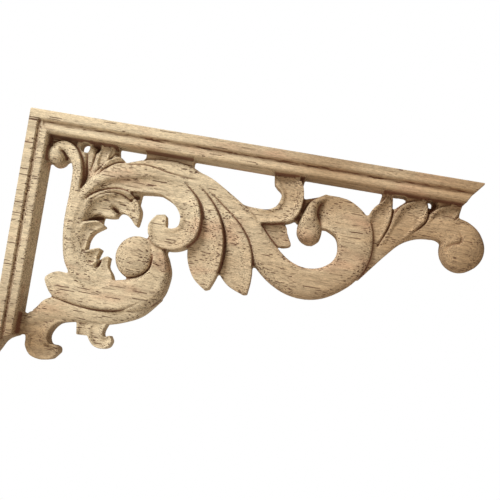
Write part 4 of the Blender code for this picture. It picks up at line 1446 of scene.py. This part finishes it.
    def _face_points(self) -> np.ndarray:
        """Choose the mesh's points within the face: close where it is lively, wide where calm.

        Returns:
            Their places in millimetres.
        """
        relief = self.relief
        calm = blurred(self.heights, 2)
        bend = 4 * calm
        for axis, step in ((0, 2), (0, -2), (1, 2), (1, -2)):
            bend = bend - np.roll(calm, step, axis)
        near_edge = blurred((self.mask < 0.999).astype(float), 3) > 0
        bend = np.where(near_edge, np.inf, blurred(np.abs(bend), 2))
        rows, columns = np.mgrid[0:relief.rows, 0:relief.columns]
        inner = self.mask > self.inset
        fine = inner & (rows % self.fine == 0) & (columns % self.fine == 0)
        wide = inner & (rows % self.coarse == 0) & (columns % self.coarse == 0)
        between = fine & ~wide
        spare = max(self.budget - int(wide.sum()), 0)
        least = np.partition(bend[between], -spare)[-spare] if spare < between.sum() else 0.0
        r, c = np.nonzero(wide | between & (bend > least))
        return np.stack([relief.left + relief.pitch * c, relief.low + relief.pitch * r], 1)

    def build(self, name: str) -> bpy.types.Object:
        """Make the closed mesh.

        Args:
            name: The object's name.

        Returns:
            The object, at the origin.
        """
        loops = self.outlines()
        rim = np.concatenate(loops)
        edges, start = [], 0
        for loop in loops:
            count = len(loop)
            edges += [(start + i, start + (i + 1) % count) for i in range(count)]
            start += count
        inner = self._face_points()
        every = np.concatenate([rim, inner])
        spots = [Vector(point) for point in every.tolist()]
        front = delaunay_2d_cdt(spots, edges, [], 0, 1e-9, False)
        back = delaunay_2d_cdt(spots[:len(rim)], edges, [], 0, 1e-9, False)
        added = len(front[0]) - len(every), len(back[0]) - len(rim)
        if any(added):
            LOG.warning("the triangulation added points: %d %d", *added)
        x, z = every[:, 0], every[:, 1]
        lift = self.sample(self.heights, x, z)
        face = [to_world(*row) for row in zip(x, z, lift)]
        rear = [to_world(px, pz, 0.0) for px, pz in rim]
        offset = len(face)
        marks = {label: np.concatenate([self.sample(raster, x, z), self.sample(raster, *rim.T)])
                 for label, raster in self.fields().items()}
        triangles = self._in_wood(np.array(front[2]), every, loops).tolist()
        walls = [(a, offset + a, offset + b, b) for a, b in edges]
        flat = (self._in_wood(np.array(back[2]), rim, loops)[:, ::-1] + offset).tolist()
        mesh = bpy.data.meshes.new(name)
        mesh.from_pydata(face + rear, [], triangles + walls + flat)
        mesh.validate()
        mesh.update()
        for label, values in marks.items():
            store(mesh, label, values)
        LOG.info("%s: %d points, %d faces, %d loops",
                 name, len(mesh.vertices), len(mesh.polygons), len(loops))
        mesh.shade_smooth()
        mesh.set_sharp_from_angle(angle=math.radians(60))
        return add_object(name, mesh)


class Pattern:
    """Small builders for a material's node tree, in millimetres along the object's own axes."""

    def __init__(self, tree: bpy.types.NodeTree) -> None:
        """Start from the object's coordinates.

        Args:
            tree: The material's node tree.
        """
        self.tree = tree
        place = add_node(tree, "ShaderNodeTexCoord")
        self.place = self.vector("SCALE", place.outputs["Object"], Scale=1.0 / MM)

    def vector(self, operation: str, first: Any, second: Any = None, **named: Any) -> Any:
        """Add a vector sum.

        Args:
            operation: Its name.
            first: Its first value or socket.
            second: Its second one, if it takes two.
            **named: Other inputs by name.

        Returns:
            The output socket.
        """
        inputs = {0: first, **named}
        if second is not None:
            inputs[1] = second
        return add_node(self.tree, "ShaderNodeVectorMath", inputs, operation=operation).outputs[0]

    def maths(self, operation: str, first: Any, second: Any = 0.0) -> Any:
        """Add a sum of numbers and return its socket."""
        return add_node(self.tree, "ShaderNodeMath", {0: first, 1: second}, operation=operation).outputs[0]

    def times(self, first: Any, second: Any) -> Any:
        """Multiply two numbers and return the product's socket."""
        return self.maths("MULTIPLY", first, second)

    def spread(self, value: Any, low: float, high: float, to_low: float = 0.0, to_high: float = 1.0) -> Any:
        """Ease a value from one range to another and return its socket."""
        inputs = {0: value, 1: low, 2: high, 3: to_low, 4: to_high}
        return add_node(self.tree, "ShaderNodeMapRange", inputs, interpolation_type="SMOOTHSTEP").outputs[0]

    def noise(self, size: tuple[float, float, float], detail: float = 2.0, shift: float = 0.0) -> Any:
        """Add a noise.

        Args:
            size: Its features' size in millimetres along X, Y and Z.
            detail: Its octaves.
            shift: Moves it, so that no two noises are alike.

        Returns:
            The socket with the noise, about 0.5 on average.
        """
        scaled = self.vector("DIVIDE", self.place, size)
        moved = self.vector("ADD", scaled, (shift, 2.0 * shift, -shift))
        return add_node(self.tree, "ShaderNodeTexNoise", {
            "Vector": moved, "Scale": 1.0, "Detail": detail}).outputs[0]

    def dashes(self, cell: tuple[float, float, float], length: float, width: float, shift: float) -> Any:
        """Add fine vessels that run along X, one in most cells.

        Args:
            cell: Millimetres from vessel to vessel along X, Y and Z.
            length: Their greatest half length.
            width: Their half width.
            shift: Moves them.

        Returns:
            The socket, 1 within a vessel and 0 outside.
        """
        scaled = self.vector("ADD", self.vector("DIVIDE", self.place, cell), (shift, shift, shift))
        cells = add_node(self.tree, "ShaderNodeTexVoronoi", {"Vector": scaled, "Scale": 1.0})
        away = self.vector("MULTIPLY", self.vector("SUBTRACT", scaled, cells.outputs["Position"]), cell)
        parts = add_node(self.tree, "ShaderNodeSeparateXYZ", {0: away})
        chance = add_node(self.tree, "ShaderNodeSeparateColor", {0: cells.outputs["Color"]}).outputs[0]
        past = self.maths("SUBTRACT", self.maths("ABSOLUTE", parts.outputs[0]), self.times(chance, length))
        along = self.spread(past, -0.2, 0.1, 1.0, 0.0)
        squares = [self.maths("POWER", parts.outputs[axis], 2.0) for axis in (1, 2)]
        side = self.maths("SQRT", self.maths("ADD", *squares))
        across = self.spread(side, width * 0.6, width * 1.3, 1.0, 0.0)
        return self.times(along, across)

    def attribute(self, name: str) -> Any:
        """Read one of the piece's own attributes and return its socket."""
        return add_node(self.tree, "ShaderNodeAttribute", attribute_name=name).outputs["Fac"]

    def mix(self, share: Any, first: Any, second: Any, blend: str = "MIX") -> Any:
        """Mix two colours.

        Args:
            share: How much of the second.
            first: A linear colour or a socket.
            second: A linear colour or a socket.
            blend: How they mix.

        Returns:
            The output socket.
        """
        return add_node(self.tree, "ShaderNodeMix", {0: share, 6: first, 7: second},
                        data_type="RGBA", blend_type=blend).outputs[2]


@dataclass(frozen=True)
class RawRubberwood:
    """Raw, machine-carved rubberwood: matt and open-pored, cream at the corner and tan at the far end.

    Rubberwood is a pale straw wood with short, dark, open vessels. Raw from the cutter it has no
    gloss, and where the cut crosses the grain its open ends look darker and speckled. Sizes are
    in millimetres along the grain, through the board and across the grain.

    Attributes:
        cream: Colour of the pale wood at the corner.
        tan: Colour at the far end: the wood's darker tone, with painted falloff of the light.
        pink: Colour of the patches.
        stain: Colour of the spots painted darker for shadow and shade.
        vessel: Colour inside an open vessel.
        recess: Colour of the deepest recesses.
        roughness: Matt, as raw wood is.
        ior: Typical for wood.
        drift_size: Broad drifts of colour.
        patch_size: Pinkish patches.
        streak_size: Growth streaks.
        fibre_size: Fibres.
        ridge_size: Ridges that the fibres leave.
        grit_size: Speckle of the open ends, drawn a little coarser than in the wood so that it shows.
        group_size: Groups in which the vessels stand.
        long_cell: Room for one long vessel.
        short_cell: Room for one short vessel.
    """

    cream: str = "E4D1AC"
    tan: str = "C2A37B"
    pink: str = "CFA582"
    stain: str = "A88A62"
    vessel: str = "5A341C"
    # recess: Colour of painted shade in the deepest recesses, together with the torn fibre and dust they
    # hold.
    recess: str = "6F3E22"
    roughness: float = 0.82
    ior: float = 1.5
    drift_size: Triple = (34.0, 9.0, 9.0)
    patch_size: Triple = (22.0, 7.0, 7.0)
    streak_size: Triple = (46.0, 1.1, 1.1)
    fibre_size: Triple = (1.6, 0.2, 0.2)
    ridge_size: Triple = (2.6, 0.16, 0.16)
    grit_size: Triple = (0.42, 0.32, 0.32)
    group_size: Triple = (14.0, 3.0, 3.0)
    long_cell: Triple = (9.0, 0.6, 0.9)
    short_cell: Triple = (2.8, 0.4, 0.45)

    def _broad_colour(self, pattern: Pattern) -> Any:
        """Run cream to tan along the board, in drifts, with pinkish patches and spots painted darker for
        shadow and shade.

        Args:
            pattern: The material's pattern.

        Returns:
            The colour's socket.
        """
        along = add_node(pattern.tree, "ShaderNodeSeparateXYZ", {0: pattern.place}).outputs[0]
        drift = pattern.times(pattern.maths("SUBTRACT", pattern.noise(self.drift_size, 2, 3.1), 0.5), 1.1)
        # Cream to tan along the board: partly the wood's own tone, partly painted falloff of the light toward
        # the far end.
        toward = pattern.maths("ADD", pattern.spread(along, -5.0, 165.0, 0.0, 1.0), drift)
        colour = pattern.mix(pattern.spread(toward, 0.0, 1.0), linear(self.cream), linear(self.tan))
        patches = pattern.spread(pattern.noise(self.patch_size, 2, 7.7), 0.52, 0.72, 0.0, 0.55)
        colour = pattern.mix(patches, colour, linear(self.pink))
        # Painted shadow and shade: these spots are darkened toward a duller tan.
        return pattern.mix(pattern.attribute("stain"), colour, linear(self.stain))

    def _shade(self, pattern: Pattern, grit: Any, crossing: Any) -> Any:
        """Shade the wood with growth streaks, fibre and the speckle of the open ends.

        Args:
            pattern: The material's pattern.
            grit: The speckle's socket.
            crossing: The socket that tells how far the cut crosses the grain.

        Returns:
            The socket of a grey that the colour is multiplied by.
        """
        streaks = pattern.spread(pattern.noise(self.streak_size, 3, 1.3), 0.3, 0.7, 0.82, 1.08)
        fibre = pattern.spread(pattern.noise(self.fibre_size, 3, 5.9), 0.25, 0.75, 0.72, 1.2)
        share = pattern.maths("ADD", pattern.times(crossing, 0.9), 0.25)
        speckle = pattern.times(share, pattern.spread(grit, 0.35, 0.55, 0.46, -0.05))
        shade = pattern.times(pattern.times(streaks, fibre), pattern.maths("SUBTRACT", 1.0, speckle))
        return add_node(pattern.tree, "ShaderNodeCombineColor", {0: shade, 1: shade, 2: shade}).outputs[0]

    def _vessels(self, pattern: Pattern, crossing: Any) -> Any:
        """Spread the open vessels, the short ones mostly where the face slopes.

        Args:
            pattern: The material's pattern.
            crossing: The socket that tells how far the cut crosses the grain.

        Returns:
            The socket, 1 within a vessel and 0 outside.
        """
        groups = pattern.spread(pattern.noise(self.group_size, 2, 2.2), 0.38, 0.58, 0.3, 1.0)
        sloping = pattern.times(groups, pattern.spread(crossing, 0.0, 0.3, 0.45, 1.2))
        long_ones = pattern.times(pattern.dashes(self.long_cell, 3.6, 0.15, 0.0), groups)
        short_ones = pattern.times(pattern.dashes(self.short_cell, 1.0, 0.13, 4.3), sloping)
        return pattern.maths("MAXIMUM", long_ones, short_ones)

    def material(self) -> bpy.types.Material:
        """Build the material.

        Returns:
            The wood.
        """
        wood = bpy.data.materials.new("rubberwood_raw_machine_carved")
        wood.use_nodes = True
        shader = wood.node_tree.nodes["Principled BSDF"]
        shader.inputs["Roughness"].default_value = self.roughness
        shader.inputs["IOR"].default_value = self.ior
        pattern = Pattern(wood.node_tree)
        grit = pattern.noise(self.grit_size, 2, 9.4)
        crossing = pattern.attribute("end_grain")
        vessels = self._vessels(pattern, crossing)
        shade = self._shade(pattern, grit, crossing)
        colour = pattern.mix(1.0, self._broad_colour(pattern), shade, "MULTIPLY")
        colour = pattern.mix(pattern.times(vessels, 0.95), colour, linear(self.vessel))

        # Painted shade: recesses darken toward brown as shade falls there, together with the torn fibre and
        # dust they hold.
        cavity = pattern.spread(pattern.attribute("cavity"), 0.03, 1.0, 0.0, 0.85)
        colour = pattern.mix(cavity, colour, linear(self.recess))
        wood.node_tree.links.new(colour, shader.inputs["Base Color"])

        # Fine relief in millimetres: torn ends and fibre ridges stand up, and vessels are open.
        rough = pattern.times(grit, pattern.maths("ADD", pattern.times(crossing, 0.12), 0.03))
        ridges = pattern.times(pattern.noise(self.ridge_size, 3, 5.9), 0.07)
        height = pattern.maths("SUBTRACT", pattern.maths("ADD", rough, ridges), pattern.times(vessels, 0.12))
        bump = add_node(wood.node_tree, "ShaderNodeBump", {"Strength": 1.0, "Distance": MM, "Height": height})
        wood.node_tree.links.new(bump.outputs[0], shader.inputs["Normal"])
        return wood


@dataclass
class Studio:
    """The plain pale floor, the soft light and the camera, in metres.

    Attributes:
        floor_drop: How far the floor lies under the origin.
        floor_size: The floor's side.
        floor_colour: The floor's colour.
        floor_glow: Light that the floor shows to the camera alone, so that it stays pale.
        lens: The camera's focal length in millimetres.
        sensor: The sensor's width in millimetres.
        shift_up: The camera's upward shift.
        place: Where the camera stands.
        across: The camera's direction to the right.
        down: The camera's direction downward.
        fill: Strength of the light from all round.
        bounce: Colour of that light.
        beam: Colour of the key light.
        key_place: Where the key light hangs.
        key_size: The key light's side.
        key_power: The key light's power in watts.
        aim: What the key light faces.
    """

    floor_drop: float = 0.5
    floor_size: float = 3.0
    floor_colour: str = "F4F2EE"
    floor_glow: float = 0.4
    lens: float = 57.6
    sensor: float = 36.0
    shift_up: float = 0.23
    place: Triple = (0.0943, -0.2680, -0.0638)
    across: Triple = (0.9831, 0.0476, 0.1765)
    down: Triple = (0.1769, -0.0039, -0.9842)
    fill: float = 0.42
    bounce: str = "FFEDDE"
    beam: str = "F8FBFF"
    key_place: Triple = (-0.42, -0.42, 0.42)
    key_size: float = 0.3
    key_power: float = 6.6
    aim: Triple = (0.07, 0.0, -0.03)

    def camera(self) -> None:
        """Set the camera at the photograph's viewing angle."""
        data = bpy.data.cameras.new("camera")
        data.sensor_width = self.sensor
        data.lens = self.lens
        data.shift_y = self.shift_up
        data.clip_start = 0.01
        item = add_object("camera", data)
        across = Vector(self.across).normalized()
        up = -Vector(self.down).normalized()
        back = across.cross(up).normalized()
        turn = Matrix((across, back.cross(across), back)).transposed()
        item.matrix_world = Matrix.Translation(self.place) @ turn.to_4x4()
        bpy.context.scene.camera = item

    def floor(self) -> None:
        """Lay the plain pale floor."""
        half, low = self.floor_size / 2, -self.floor_drop
        mesh = bpy.data.meshes.new("floor")
        corners = [(-half, -half, low), (half, -half, low), (half, half, low), (-half, half, low)]
        mesh.from_pydata(corners, [], [(0, 1, 2, 3)])
        pale = bpy.data.materials.new("pale_floor")
        pale.use_nodes = True
        tree = pale.node_tree
        shader = tree.nodes["Principled BSDF"]
        shader.inputs["Base Color"].default_value = linear(self.floor_colour)
        shader.inputs["Roughness"].default_value = 0.9
        shader.inputs["Emission Color"].default_value = linear(self.floor_colour)
        seen = add_node(tree, "ShaderNodeLightPath").outputs["Is Camera Ray"]
        glow = add_node(tree, "ShaderNodeMath", {0: seen, 1: self.floor_glow}, operation="MULTIPLY")
        tree.links.new(glow.outputs[0], shader.inputs["Emission Strength"])
        mesh.materials.append(pale)
        add_object("floor", mesh)

    def key_light(self) -> None:
        """Hang the soft square light at the upper left, facing the onlay."""
        data = bpy.data.lights.new("key", "AREA")
        data.size = self.key_size
        data.energy = self.key_power
        data.color = linear(self.beam)[:3]
        item = add_object("key", data)
        item.location = self.key_place
        item.rotation_euler = (Vector(self.aim) - Vector(self.key_place)).to_track_quat("-Z", "Y").to_euler()

    def world(self) -> None:
        """Surround the scene with even white, softer as light than it looks."""
        world = bpy.data.worlds.new("studio")
        world.use_nodes = True
        tree = world.node_tree
        seen = add_node(tree, "ShaderNodeLightPath").outputs["Is Camera Ray"]
        strength = add_node(tree, "ShaderNodeMapRange", {0: seen, 3: self.fill, 4: 1.0}).outputs[0]
        colours = {0: seen, 6: linear(self.bounce), 7: linear("FFFFFF")}
        hue = add_node(tree, "ShaderNodeMix", colours, data_type="RGBA")
        tree.links.new(hue.outputs[2], tree.nodes["Background"].inputs[0])
        tree.links.new(strength, tree.nodes["Background"].inputs[1])
        bpy.context.scene.world = world

    def build(self) -> None:
        """Set up the camera, floor, world and light."""
        self.camera()
        self.floor()
        self.world()
        self.key_light()
        bpy.context.scene.view_settings.view_transform = "Standard"


@dataclass
class CornerOnlay:
    """The whole onlay: its sub-assemblies, the cutter that carved them and its wood.

    Attributes:
        cutter_radius: The ball-nosed cutter's radius, which rounds every crease.
        sanding_radius: How far sanding rounds every edge.
        finish: The wood.
        rails: The moulded frame.
        fretwork: The carved sub-assemblies in the order they are made.
    """

    cutter_radius: float = 0.6
    sanding_radius: float = 0.3
    finish: RawRubberwood = RawRubberwood()
    rails: MouldedFrame = field(default_factory=MouldedFrame)
    fretwork: list[Assembly] = field(default_factory=lambda: [
        VoluteAndFan(), CrownAndHood(), TrunkAndSpoons(), CurlAndLeaves(), RingAndDrop(), LittleScroll(),
        ArmAndSideLeaves(), LowerScroll(), Foot()])

    def work(self, kind: type, step: Callable) -> None:
        """Do one step of the carving for every part of one kind.

        Args:
            kind: The kind of part.
            step: What is done for each.
        """
        for assembly in self.fretwork:
            for _, part in assembly.parts(kind):
                step(part)

    def build(self) -> bpy.types.Object:
        """Carve the onlay.

        Returns:
            The finished piece, dressed and riding on its body.
        """
        trees = CarvingTrees()
        sheets: list[bpy.types.Object] = []
        for assembly in self.fretwork:
            made = assembly.build(trees)
            LOG.info("%s: %d carved sheets", type(assembly).__name__, len(made))
            sheets += made
        relief = Relief(sheets, trees)
        self.rails.carve(relief)
        self.work(Ground, relief.lay_ground)
        self.work(Piercing, relief.pierce)
        self.work(Blend, relief.blend)
        relief.round_creases(self.cutter_radius)
        self.work(Gouge, relief.cut)
        self.rails.tear(relief)
        relief.round_edges(self.sanding_radius)
        piece = Board(relief).build("carved_onlay")
        piece.data.materials.clear()
        piece.data.materials.append(self.finish.material())
        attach(piece, BODY)
        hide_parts(NODE)
        return piece


def main() -> None:
    """Build the studio and the onlay, and log each step and the mesh counts."""
    Studio().build()
    LOG.info("studio: floor, light and camera")
    piece = CornerOnlay().build()
    LOG.info("%s: done", piece.name)


if __name__ == "__main__":
    main()
